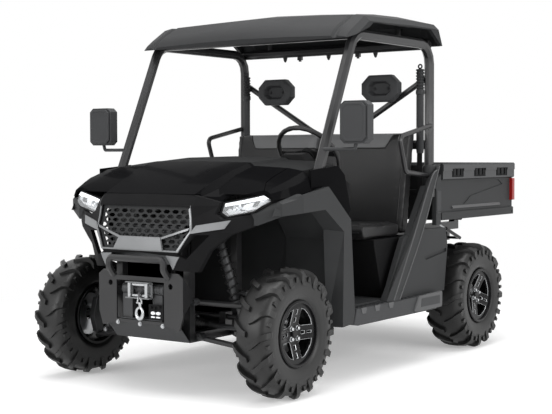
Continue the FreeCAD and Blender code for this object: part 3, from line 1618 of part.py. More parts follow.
def build_suspension():
    """The arms and shocks of both axles."""
    shocks = []
    for end, axle, pin, top in (
        ("front", "front_axle", "kingpin_place", "tower_top"),
        ("rear", "rear_axle", "rear_pin_place", "bed_rail_low"),
    ):
        low = "hub_height - knuckle_half_height - arm_tube * 1.6"
        high = "hub_height + knuckle_half_height + arm_tube * 1.6"
        low_root = "rail_low + rail_depth / 2"
        lower = arm_pair(f"{end}_low", axle, pin, low_root, low, "arm_spread")
        upper = arm_pair(
            f"{end}_high", axle, pin, "hub_height + arm_spread", high, "(tower_back - rail_width / 2)"
        )
        node(f"{end}_arms", pair(f"{end}_arm_pair", gathered(f"{end}_arm_set", [lower, upper])))
        seat = shared((f"{axle} + arm_spread", "rail_inside", low_root), (axle, pin, low), 0.72)
        foot = (seat[0], seat[1], f"{seat[2]} + arm_tube")
        head = (seat[0], "rail_outside + shock_rod + seat_gap", f"{top} - rail_depth / 2")
        bars = [beam(f"{end}_shock_rod", foot, head, "shock_rod")]
        for coil in range(SHOCK_COILS):
            start = 0.36 + 0.5 * coil / SHOCK_COILS
            end_share = start + 0.26 / SHOCK_COILS
            bars.append(
                beam(f"{end}_coil_{coil}", shared(foot, head, start), shared(foot, head, end_share), "shock_radius")
            )
        bars.append(beam(f"{end}_damper", shared(foot, head, 0.36), shared(foot, head, 0.9), "shock_radius * 0.72"))
        shocks.append(less(f"{end}_shock", joined(f"{end}_shock_whole", bars), [lower]))
    node("shocks", pair("shock_pair", gathered("shock_set", shocks)))


def build_drive():
    """The two final drives with the shafts that run out of them."""
    units = []
    for end, axle, reach in (("front", "front_axle", "kingpin_place"), ("rear", "rear_axle", "rear_pin_place")):
        case = rod(
            f"{end}_case",
            (axle, "-diff_half", "hub_height"),
            (axle, "diff_half", "hub_height"),
            "hub_height - rail_low - seat_gap",
        )
        tip = f"{reach} - knuckle_thick * 1.5"
        shaft = beam(f"{end}_shaft", (axle, f"-({tip})", "hub_height"), (axle, tip, "hub_height"), "shaft_radius")
        units.append(joined(f"{end}_unit", [case, shaft]))
    node("drive_shafts", gathered("drive", units))


def carrier(name, axle, pin):
    """A hub carrier with its spindle, which the wheel turns on."""
    inner = f"{pin} - knuckle_thick / 2"
    outer = f"{pin} + knuckle_thick / 2"
    half = "knuckle_half_height"
    shape = framed(
        ((-0.2, -1), (0.2, -1), (0.5, 0), (0.2, 1), (-0.2, 1), (-0.5, 0)),
        (axle, f"{axle} + {half}"),
        ("hub_height", f"hub_height + {half}"),
    )
    plate = slab(f"{name}_plate", "XZ", shape, inner, outer)
    return plate, outer


def build_carriers():
    """The steered knuckles in front and the fixed hub carriers behind."""
    plate, outer = carrier("front_carrier", "front_axle", "kingpin_place")
    spindle = rod(
        "front_spindle",
        ("front_axle", outer, "hub_height"),
        ("front_axle", "wheel_face - disc_stack - shaft_play", "hub_height"),
        "spindle_radius",
    )
    arm = block(
        "steer_arm_bar",
        ("front_axle - steer_arm - spindle_radius", "front_axle"),
        ("kingpin_place - knuckle_thick / 2", "kingpin_place + knuckle_thick / 2"),
        ("hub_height - spindle_radius", "hub_height + spindle_radius"),
    )
    knuckle = joined("knuckle", [plate, spindle, arm])
    node("knuckle_left", knuckle)
    node("knuckle_right", mirrored(knuckle))
    plate, outer = carrier("rear_carrier", "rear_axle", "rear_pin_place")
    spindle = rod(
        "rear_spindle",
        ("rear_axle", outer, "hub_height"),
        ("rear_axle", "wheel_face - disc_stack - shaft_play", "hub_height"),
        "spindle_radius",
    )
    node("rear_hubs", pair("rear_hub_pair", joined("rear_hub", [plate, spindle])))


# Round a tyre: the share of its width in from the outer face, and of its height over the bead
TYRE_SHARES = (
    (0.14, 0), (0.05, 0.25), (0.03, 0.5), (0.07, 0.8), (0.2, 0.97),
    (0.8, 0.97), (0.93, 0.8), (0.97, 0.5), (0.95, 0.25), (0.86, 0),
)
# One lug, from the crown out over the shoulder: its place across, its lean, its foot and its top
LUG_STATION_SHARES = ((0.47, 1.1, 0.93, 1), (0.14, -0.4, 0.87, 0.985), (0, -0.8, 0.8, 0.9))
LUG_COUNT = 16
WHEEL_SIDES = 24
RIM_WINDOWS = 4
RIM_WINDOW_SHARES = (
    (0.258, 0.363), (0.363, 0.258), (1, 0.258), (0.927, 0.484), (0.726, 0.726), (0.484, 0.927), (0.258, 1),
)


def turned(name, corners, sides):
    """A flat-sided solid of revolution round the Y axis, from places along Y and their radii."""
    places_along = [(size(along), size(radius)) for along, radius in corners]
    rings = []
    for step in range(sides):
        turn = 2 * math.pi * step / sides
        rings.append([Vector(r * math.sin(turn), along, r * math.cos(turn)) for along, r in places_along])
    faces = []
    for ring, onward in zip(rings, rings[1:] + rings[:1]):
        for i in range(len(ring)):
            j = (i + 1) % len(ring)
            spots = [ring[i], ring[j], onward[j], onward[i]]
            kept = [spot for k, spot in enumerate(spots) if spot.distanceToPoint(spots[k - 1]) > 0]
            if len(kept) > 2:
                faces.append(facet(kept))
    return closed_solid(name, faces)


def round_copies(name, piece, count, start=0):
    """Copies of a piece at even turns round the Y axis."""
    doc.recompute()
    turns = [start + 360 * step / count for step in range(count)]
    ring = doc.addObject("Part::Feature", name)
    ring.Shape = Part.makeCompound([piece.Shape.rotated(Vector(), Vector(0, 1, 0), turn) for turn in turns])
    return ring


def tyre_shape(name, width):
    """A tyre round its own Y axis, its outer face at zero, with two rows of leaning lugs."""
    clear = 1 / math.cos(math.pi / WHEEL_SIDES)
    profile = framed(TYRE_SHARES, ("0", f"-{width}"), (f"(bead_radius + seat_gap) * {clear}", "tyre_radius - lug_height"))
    rows = [turned(name + "_carcass", profile, WHEEL_SIDES)]
    for row, flip in (("outer", 1), ("inner", -1)):
        stations = []
        for across, lean, foot, top in LUG_STATION_SHARES:
            place_across = across if flip > 0 else 1 - across
            corners = []
            for way, height in (("-", foot), ("+", foot), ("+", top), ("-", top)):
                x = f"lug_width * ({lean} {way} 0.5)"
                corners.append((x, f"sqrt((tyre_radius * {height}) ^ 2 - ({x}) ^ 2)"))
            stations.append((f"-{width} * {place_across}", corners))
        lug = facet_loft(f"{name}_{row}_lug", "XZ", stations)
        start = 0 if flip > 0 else 180 / LUG_COUNT
        rows.append(round_copies(f"{name}_{row}_row", lug, LUG_COUNT, start))
    return joined(name, rows)


def rim_slot(name, inner, outer, width):
    """A slot in one spoke, from one radius out to another."""
    return slab(
        name,
        "XZ",
        [(f"-{width} / 2", inner), (f"{width} / 2", inner), (f"{width} / 2", outer), (f"-{width} / 2", outer)],
        "-disc_stack - overrun",
        "0",
    )


def rim_shape(name, width, turn):
    """A rim round its own Y axis: barrel, flanges, dished disc with twin spokes, hub and blind bore."""
    inner = f"-({width} - rim_inset)"
    lip = "bead_radius + rim_flange"
    bore = "bead_radius - rim_wall"
    back = "-disc_stack"
    edge = "-(rim_inset + disc_lip)"
    front = "-(rim_inset + disc_recess)"
    corners = [
        ("-rim_inset", lip),
        ("-rim_inset - rim_flange", lip),
        ("-rim_inset - rim_flange", "bead_radius"),
        (f"{inner} + rim_flange", "bead_radius"),
        (f"{inner} + rim_flange", lip),
        (inner, lip),
        (inner, bore),
        (f"{edge} - disc_depth", bore),
        (back, "hub_radius"),
        (f"{back} - hub_length", "hub_radius"),
        (f"{back} - hub_length", "0"),
        (f"{front} + cap_length", "0"),
        (f"{front} + cap_length", "cap_radius"),
        (front, "cap_radius"),
        (front, "hub_radius"),
        (edge, "window_outer"),
        (edge, bore),
        ("-rim_inset", bore),
    ]
    disc = turned(name + "_turned", corners, WHEEL_SIDES)
    shape = [(f"window_outer * {across}", f"window_outer * {up}") for across, up in RIM_WINDOW_SHARES]
    window = slab(name + "_window", "XZ", shape, "-disc_stack - overrun", "0")
    spoke_slot = rim_slot(name + "_spoke_slot", "spoke_slot_inner", "spoke_slot_outer", "spoke_slot_width")
    hub_slot = rim_slot(name + "_hub_slot", "hub_slot_inner", "hub_slot_outer", "hub_slot_width")
    cuts = [
        round_copies(f"{piece.Name}_ring", piece, RIM_WINDOWS, turn) for piece in (window, spoke_slot, hub_slot)
    ]
    hub_bore = rod(
        name + "_bore", ("0", f"{back} - hub_length - overrun", "0"), ("0", back, "0"), "spindle_radius + shaft_play"
    )
    return less(name, disc, cuts + [hub_bore])


def build_wheels():
    """The four wheels, each a tyre and its rim."""
    for end in ("front", "rear"):
        width = f"{end}_tyre_width"
        turn = 0 if end == "front" else size("rear_rim_turn")
        shapes = {"tyre": tyre_shape(f"{end}_tyre", width), "rim": rim_shape(f"{end}_rim", width, turn)}
        for kind, left in shapes.items():
            left.setExpression("Placement.Base.x", bound(f"{end}_axle"))
            left.setExpression("Placement.Base.y", bound("wheel_face"))
            left.setExpression("Placement.Base.z", bound("hub_height"))
            node(f"{kind}_{end}_left", left)
            node(f"{kind}_{end}_right", mirrored(left))


def build_steering():
    """The steering wheel and the rack with its tie rods."""
    centre = point(along_column("0"))
    axis = point(along_column("-1")) - centre
    reach = 1 / math.cos(math.pi / 8)
    section = [
        (f"wheel_grip * {reach * math.sin(turn)}", f"wheel_ring + wheel_grip * {reach * math.cos(turn)}")
        for turn in (math.pi * (2 * step + 1) / 8 for step in range(8))
    ]
    ring = turned("wheel_rim", section, WHEEL_SIDES)
    ring.Placement = FreeCAD.Placement(centre, FreeCAD.Rotation(Vector(0, 1, 0), axis))
    hub = rod("wheel_boss", along_column("wheel_hub / 2"), along_column("-wheel_grip"), "wheel_hub")
    spokes = []
    for number, (across, up) in enumerate(((1, 0), (-1, 0), (0, -1))):
        tip = (
            f"front_axle - wheel_behind + wheel_ring * lean_cosine * {up}",
            f"wheel_place + wheel_ring * {across}",
            f"wheel_height + wheel_ring * lean_sine * {up}",
        )
        spokes.append(beam(f"spoke_{number}", along_column("0"), tip, "wheel_grip * 0.7"))
    node("steering_wheel", joined("steering_wheel_whole", [ring, hub] + spokes))
    rack = rod(
        "rack_bar",
        ("rack_line", "-rack_length / 2", "rack_height"),
        ("rack_line", "rack_length / 2", "rack_height"),
        "rack_radius",
    )
    ties = rod(
        "tie_rod",
        ("rack_line", "-kingpin_place - tie_rod_radius", "rack_height"),
        ("rack_line", "kingpin_place + tie_rod_radius", "rack_height"),
        "tie_rod_radius",
    )
    node("steering_rack", joined("steering_rack_whole", [rack, ties]))


BED_POCKET_SHARES = ((0.117, 0.268), (0.413, 0.571), (0.727, 0.891))
BED_RECESS_SHARES = ((0.722, 0.8), (0.641, 0.913), (0.205, 0.923), (0.147, 0.769), (0.597, 0.452), (0.7, 0.185))
BED_RIB_SHARES = (0.08, 0.29, 0.5, 0.71, 0.92)


def bed_side_parts(front):
    """The left side of the bed: its panel with lip, band and rail, and the cuts in it."""
    inner = "bed_side_half - bed_wall"
    rail_low = "bed_top - bed_rail_high"
    band_low = "bed_top - bed_rail_high - bed_band_high"
    rail_in = "side_half - bed_rail_wide"
    face = [
        (inner, "bed_floor_low"),
        ("bed_side_half + bed_lip", "bed_floor_low"),
        ("bed_side_half + bed_lip", "bed_floor_low + bed_lip_high"),
        ("bed_side_half", "bed_floor_low + bed_lip_high + bed_edge / 2"),
        ("bed_side_half", f"{band_low} - bed_edge"),
        ("side_half - bed_edge / 2", band_low),
        ("side_half - bed_edge / 2", rail_low),
        ("side_half", f"{rail_low} + bed_edge / 2"),
        ("side_half", "bed_top - bed_edge"),
        ("side_half - bed_edge", "bed_top"),
        (f"{rail_in} + bed_edge", "bed_top"),
        (rail_in, "bed_top - bed_edge"),
        (rail_in, band_low),
        (inner, f"{band_low} - bed_edge"),
    ]
    panel = slab("bed_side", "YZ", face, "rear_end", front)
    cuts = []
    for number, (start, end) in enumerate(BED_POCKET_SHARES):
        cuts.append(
            block(
                f"bed_pocket_{number}",
                (f"{front} - ({front} - rear_end) * {end}", f"{front} - ({front} - rear_end) * {start}"),
                ("side_half - pocket_depth", "side_half + overrun"),
                ("pocket_low", "pocket_high"),
            )
        )
    recess = framed(BED_RECESS_SHARES, ("rear_end", front), ("bed_floor_low + bed_lip_high", band_low))
    cuts.append(slab("bed_side_recess", "XZ", recess, "bed_side_half - bed_recess", "side_half"))
    return panel, cuts


def build_bed():
    """The cargo bed, its tailgate and the tail lamps in its rear corners."""
    front = "rear_axle + bed_front_ahead"
    floor = block(
        "bed_floor",
        ("bed_rear", front),
        ("-bed_side_half", "bed_side_half"),
        ("bed_floor_low", "bed_floor_low + bed_floor_thick"),
    )
    wall = block(
        "bed_front_wall",
        (f"{front} - bed_wall", front),
        ("-bed_side_half", "bed_side_half"),
        ("bed_floor_low", "bed_top - bed_edge"),
    )
    ribs = [
        block(
            f"bed_rib_{number}",
            (front, f"{front} + rib_depth"),
            (f"bed_side_half * {2 * share - 1} - bed_rail_wide / 2", f"bed_side_half * {2 * share - 1} + bed_rail_wide / 2"),
            ("bed_floor_low", "bed_top - bed_rail_high"),
        )
        for number, share in enumerate(BED_RIB_SHARES)
    ]
    side, side_cuts = bed_side_parts(front)
    inner = "bed_rail_place + rail_width + seat_gap"
    lug = block(
        "bed_lug",
        ("hinge_line - hinge_lug", "hinge_line + hinge_lug"),
        (inner, f"{inner} + hinge_lug_width"),
        ("hinge_height", "bed_floor_low + bed_floor_thick"),
    )
    lug_round = rod(
        "bed_lug_round",
        ("hinge_line", inner, "hinge_height"),
        ("hinge_line", f"{inner} + hinge_lug_width", "hinge_height"),
        "hinge_lug",
    )
    pin = rod(
        "bed_pin",
        ("hinge_line", "bed_rail_place", "hinge_height"),
        ("hinge_line", f"{inner} + hinge_lug_width", "hinge_height"),
        "hinge_radius",
    )
    strut_lug = block(
        "bed_strut_lug",
        ("rear_axle + strut_head_ahead - strut_barrel", "rear_axle + strut_head_ahead + strut_barrel"),
        ("strut_place + strut_barrel", "strut_place + strut_barrel * 2"),
        ("hinge_height - strut_barrel", "bed_floor_low + bed_floor_thick"),
    )
    lamp_low, lamp_high = "tail_lamp_low - seat_gap", "tail_lamp_high + seat_gap"
    lamp_room = block(
        "lamp_room",
        ("rear_end - overrun", "rear_end + tail_lamp_depth + seat_gap"),
        ("bed_side_half - bed_wall - overrun", "side_half + overrun"),
        (lamp_low, lamp_high),
    )
    gate_bore = rod(
        "gate_bore",
        ("gate_line", "-side_half - overrun", "gate_height"),
        ("gate_line", "side_half + overrun", "gate_height"),
        "tailgate_pin + shaft_play",
    )
    left = [side, lug, lug_round, pin]
    whole = joined("bed_whole", [floor, wall, strut_lug] + ribs + left + [mirrored(piece) for piece in left])
    cuts = side_cuts + [lamp_room]
    node("bed", less("bed_cut", whole, cuts + [mirrored(piece) for piece in cuts] + [gate_bore]))
    half = "side_half - bed_rail_wide - tailgate_play"
    gate = block(
        "gate_panel",
        ("rear_end", "rear_end + tailgate_thick"),
        (f"-({half})", half),
        ("bed_floor_low", "bed_top"),
    )
    gate_pin = rod(
        "gate_pin",
        ("gate_line", "-bed_side_half", "gate_height"),
        ("gate_line", "bed_side_half", "gate_height"),
        "tailgate_pin",
    )
    gate_recess = block(
        "gate_recess",
        ("rear_end - overrun", "rear_end + bed_recess"),
        ("-bed_side_half + bed_rail_wide * 2", "bed_side_half - bed_rail_wide * 2"),
        ("bed_floor_low + bed_rail_wide * 1.5", "bed_top - bed_rail_wide * 1.5"),
    )
    node("tailgate", less("tailgate_cut", joined("tailgate_whole", [gate, gate_pin]), [gate_recess]))
    lamp = block(
        "tail_lamp",
        ("rear_end", "rear_end + tail_lamp_depth"),
        ("bed_side_half - bed_wall", "side_half"),
        ("tail_lamp_low", "tail_lamp_high"),
    )
    node("tail_lamps", pair("tail_lamp_pair", lamp))


def build_strut():
    """The bed's lift strut: a barrel on the frame and a rod that slides in it."""
    foot = ("strut_foot", "strut_place", "strut_foot_height")
    head = ("rear_axle + strut_head_ahead", "strut_place", "hinge_height")
    barrel = rod("barrel_tube", foot, shared(foot, head, 0.55), "strut_barrel")
    bore = rod("barrel_bore", shared(foot, head, 0.08), shared(foot, head, 0.6), "strut_rod + shaft_play")
    bracket = rod(
        "strut_pin",
        ("strut_foot", "bed_rail_place + rail_width + seat_gap", "strut_foot_height"),
        foot,
        "strut_barrel * 0.8",
    )
    node("strut_barrel", less("barrel_cut", joined("barrel_whole", [barrel, bracket]), [bore]))
    node("strut_rod", rod("strut_rod_bar", shared(foot, head, 0.1), shared(foot, head, 0.96), "strut_rod"))


def build_engine():
    """The engine block, the muffler and the radiator."""
    block_low = "rail_top + seat_gap"
    engine = block(
        "engine_block",
        ("rear_axle + engine_rear_ahead", "rear_axle + engine_front_ahead"),
        ("-engine_half", "engine_half"),
        (block_low, "engine_high"),
    )
    node("engine", engine)
    line = "rear_axle - tower_back - muffler_radius - seat_gap"
    muffler = rod(
        "muffler_can",
        (line, "-muffler_length / 2", "muffler_height"),
        (line, "muffler_length / 2", "muffler_height"),
        "muffler_radius",
    )
    node("muffler", muffler)
    radiator = block(
        "radiator_core",
        ("front_axle + tower_front + seat_gap", "front_axle + tower_front + seat_gap + radiator_thick"),
        ("-radiator_half", "radiator_half"),
        ("radiator_low", "radiator_high"),
    )
    node("radiator", radiator)


def build_belts():
    """The belt guides that hang from the rear hoop, each a corrugated sleeve over its strap."""
    ahead = "brace_tube + belt_sleeve + seat_gap"
    line = f"cage_half - sqrt((cage_tube + belt_sleeve + seat_gap) ^ 2 - ({ahead}) ^ 2) - belt_sleeve / 2"
    pieces = []
    for number in range(5):
        level = f"belt_high - belt_long * {number / 5}"
        pieces.append(
            beam(
                f"belt_fold_{number}",
                (f"hoop + {ahead}", line, level),
                (f"hoop + {ahead}", line, f"{level} - belt_long / 9"),
                "belt_sleeve",
            )
        )
    core = beam(
        "belt_core",
        (f"hoop + {ahead}", line, "belt_high"),
        (f"hoop + {ahead}", line, "back_high + belt_sleeve"),
        "belt_sleeve * 0.75",
    )
    node("seat_belts", pair("belt_pair", joined("belt_guide", [core] + pieces)))


def check_document():
    """Stop before anything is written if an object failed or a sub-part has no sound shape."""
    doc.recompute()
    for item in doc.Objects:
        if "Invalid" in item.State or "Error" in item.State:
            raise RuntimeError(f"{item.Name} did not build")
    for name, piece in NODES.items():
        if piece.Shape.isNull() or not piece.Shape.isValid():
            raise RuntimeError(f"{name} has no sound shape")


fill_sheet()
set_places()
build_frame()
build_skid_plate()
build_front_bumper()
build_winch()
build_floor()
build_sills()
build_dash()
build_cowl()
build_hood()
build_fascia()
build_headlamps()
build_fenders()
build_flares()
build_sides()
build_seats()
build_roof()
build_cage()
build_mirrors()
build_suspension()
build_drive()
build_carriers()
build_wheels()
build_steering()
build_bed()
build_strut()
build_engine()
build_belts()
check_document()
for name, piece in NODES.items():
    piece.Shape.exportStep(f"parts/{name}.step")
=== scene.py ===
"""The looks of the side by side utility vehicle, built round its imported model. Lengths are in metres."""
import math

import bmesh
import bpy
from mathutils import Matrix, Vector
from mathutils.bvhtree import BVHTree


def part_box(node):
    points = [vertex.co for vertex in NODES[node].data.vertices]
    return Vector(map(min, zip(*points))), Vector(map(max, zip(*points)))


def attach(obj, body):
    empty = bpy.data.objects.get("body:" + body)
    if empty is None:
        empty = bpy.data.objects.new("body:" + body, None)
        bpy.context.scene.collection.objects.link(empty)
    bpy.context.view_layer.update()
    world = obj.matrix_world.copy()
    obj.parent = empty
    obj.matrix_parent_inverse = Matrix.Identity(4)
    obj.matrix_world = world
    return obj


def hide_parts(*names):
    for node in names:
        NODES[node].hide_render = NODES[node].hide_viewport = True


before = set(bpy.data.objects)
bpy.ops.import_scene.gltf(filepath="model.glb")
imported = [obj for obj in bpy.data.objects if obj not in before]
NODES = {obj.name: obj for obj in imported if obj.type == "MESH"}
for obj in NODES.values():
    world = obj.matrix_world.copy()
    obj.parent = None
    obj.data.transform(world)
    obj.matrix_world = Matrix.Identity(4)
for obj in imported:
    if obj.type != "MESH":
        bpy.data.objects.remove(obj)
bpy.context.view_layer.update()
X, Y, Z = Vector((1, 0, 0)), Vector((0, 1, 0)), Vector((0, 0, 1))
# The way along each axis and the two directions round it
ROUND_X, ROUND_Y, ROUND_Z = (X, Y, Z), (Y, X, Z), (Z, X, Y)
MERGE = 0.00001  # corners nearer than this are one
SQUARE = ((-1, -1), (1, -1), (1, 1), (-1, 1))


def centre(name):
    """The middle of a node's box."""
    low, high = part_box(name)
    return (Vector(low) + Vector(high)) / 2


FRONT_AXLE = centre("tyre_front_left").x
REAR_AXLE = centre("tyre_rear_left").x
HUB_HEIGHT = centre("tyre_front_left").z
WHEEL_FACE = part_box("tyre_front_left")[1].y
SIDES = (("left", 1), ("right", -1))
WHEELS = [(end, side, way) for end in ("front", "rear") for side, way in SIDES]

# The camera that was fitted to the photograph
SENSOR_WIDTH = 36.0
CAMERA_LENS = 80.1
CAMERA_PLACE = (REAR_AXLE + 6.775, 4.036, 1.181)
CAMERA_YAW = 215.4
CAMERA_PITCH = -2.49
CAMERA_ROLL = 0.15


def build_camera():
    """A camera at the photograph's viewing angle."""
    data = bpy.data.cameras.new("camera")
    data.sensor_fit = "HORIZONTAL"
    data.sensor_width = SENSOR_WIDTH
    data.lens = CAMERA_LENS
    data.clip_end = 100
    camera = bpy.data.objects.new("camera", data)
    bpy.context.collection.objects.link(camera)
    yaw, pitch = math.radians(CAMERA_YAW), math.radians(CAMERA_PITCH)
    look = Vector((math.cos(yaw) * math.cos(pitch), math.sin(yaw) * math.cos(pitch), math.sin(pitch)))
    turn = look.to_track_quat("-Z", "Y").to_matrix().to_4x4()
    roll = Matrix.Rotation(math.radians(CAMERA_ROLL), 4, look)
    camera.matrix_world = Matrix.Translation(CAMERA_PLACE) @ roll @ turn
    bpy.context.scene.camera = camera


def add_lamp(name, place, target, size, power):
    """One soft rectangular lamp that faces a target."""
    data = bpy.data.lights.new(name, "AREA")
    data.shape = "RECTANGLE"
    data.size, data.size_y = size
    data.energy = power
    lamp = bpy.data.objects.new(name, data)
    bpy.context.collection.objects.link(lamp)
    turn = (Vector(target) - Vector(place)).to_track_quat("-Z", "Y").to_matrix().to_4x4()
    lamp.matrix_world = Matrix.Translation(place) @ turn


def feed(tree, node, inputs):
    """Sets a node's inputs, each to a value or to another node's output."""
    for socket, value in inputs.items():
        if isinstance(value, bpy.types.NodeSocket):
            tree.links.new(value, node.inputs[socket])
        else:
            node.inputs[socket].default_value = value


def add_node(tree, kind, inputs=None, **settings):
    """The outputs of a new shader node with its settings and inputs."""
    node = tree.nodes.new("ShaderNode" + kind)
    for setting, value in settings.items():
        setattr(node, setting, value)
    feed(tree, node, inputs or {})
    return node.outputs


def worked(tree, operation, *values):
    """A math node's result from its values."""
    return add_node(tree, "Math", dict(enumerate(values)), operation=operation)[0]


def build_floor():
    """The pale floor, which keeps the shadow near the vehicle and fades to white further out."""
    size = 60.0
    mesh = bpy.data.meshes.new("floor")
    mesh.from_pydata([(x * size, y * size, 0) for x, y in SQUARE], [], [(0, 1, 2, 3)])
    floor = bpy.data.objects.new("floor", mesh)
    bpy.context.collection.objects.link(floor)
    material = bpy.data.materials.new("studio_floor")
    material.use_nodes = True
    tree = material.node_tree
    tree.nodes.clear()
    path = add_node(tree, "LightPath")
    seen = worked(tree, "MAXIMUM", path["Is Camera Ray"], path["Is Glossy Ray"])
    diffuse = add_node(tree, "BsdfDiffuse", {"Color": (0.86, 0.86, 0.86, 1)})[0]
    glow = add_node(tree, "Emission", {"Strength": worked(tree, "MULTIPLY", seen, 0.3)})[0]
    both = add_node(tree, "AddShader", {0: diffuse, 1: glow})[0]
    place = add_node(tree, "TexCoord")["Object"]
    away = add_node(tree, "VectorMath", {0: place}, operation="LENGTH")["Value"]
    reach = {"From Min": 1.9, "From Max": 3.6, "Value": away}
    fade = add_node(tree, "MapRange", reach, interpolation_type="SMOOTHSTEP")["Result"]
    white = add_node(tree, "Emission")[0]
    blend = add_node(tree, "MixShader", {"Fac": worked(tree, "MULTIPLY", fade, seen), 1: both, 2: white})[0]
    add_node(tree, "OutputMaterial", {0: blend})
    mesh.materials.append(material)


def build_studio():
    """The white surround and the soft studio lamps."""
    world = bpy.data.worlds.new("studio")
    world.use_nodes = True
    bpy.context.scene.world = world
    tree = world.node_tree
    path = add_node(tree, "LightPath")
    through = worked(tree, "MAXIMUM", path["Is Glossy Ray"], path["Is Transmission Ray"])
    clear = worked(tree, "MAXIMUM", path["Is Camera Ray"], through)
    strength = worked(tree, "MULTIPLY_ADD", clear, 0.45, 0.55)
    feed(tree, tree.nodes["Background"], {"Strength": strength, "Color": (1, 1, 1, 1)})
    add_lamp("top_lamp", (0.3, 0.3, 5.0), (0, 0, 0.6), (5.0, 4.0), 230)
    add_lamp("side_lamp", (1.0, 6.0, 2.6), (0, 0, 0.8), (4.0, 2.4), 160)
    add_lamp("front_lamp", (6.5, -1.5, 2.4), (0.6, 0, 0.8), (3.0, 2.4), 130)


MATERIALS = {}


def finish_of(
    name, colour, rough, metal=0.0, coat=0.0, grain=0.0012, bump=0.15, mottle=0.15, kind="noise", shine=0.12,
):
    """A material with fine grain, a mottled colour and an uneven gloss. The colour is linear."""
    material = bpy.data.materials.new(name)
    material.use_nodes = True
    tree = material.node_tree
    place = add_node(tree, "TexCoord")["Object"]
    cloud = add_node(tree, "TexNoise", {"Vector": place, "Scale": 9.0, "Detail": 6.0})["Fac"]
    dark, light = ((*[part * (1 + way * mottle) for part in colour], 1) for way in (-1, 1))
    tint = add_node(tree, "Mix", {"Factor": cloud, "A": dark, "B": light}, data_type="RGBA")["Result"]
    gloss = {"Value": cloud, "To Min": max(rough - 0.08, 0.02), "To Max": min(rough + 0.08, 1.0)}
    if kind == "brushed":
        place = add_node(tree, "Mapping", {"Vector": place, "Scale": (0.08, 1.0, 1.0)})["Vector"]
    texture = {"Vector": place, "Scale": 1 / grain}
    if kind == "pebble":
        height = add_node(tree, "TexVoronoi", texture)["Distance"]
    else:
        height = add_node(tree, "TexNoise", {**texture, "Detail": 3.0})["Fac"]
    relief = {"Strength": bump, "Distance": grain * 0.5, "Height": height}
    shader = tree.nodes["Principled BSDF"]
    feed(tree, shader, {
        "Metallic": metal, "Specular IOR Level": 0.5 if metal else shine, "Base Color": tint,
        "Coat Weight": coat, "Coat Roughness": 0.06,
        "Roughness": add_node(tree, "MapRange", gloss)["Result"],
        "Normal": add_node(tree, "Bump", relief)["Normal"],
    })
    MATERIALS[name] = material
    return shader


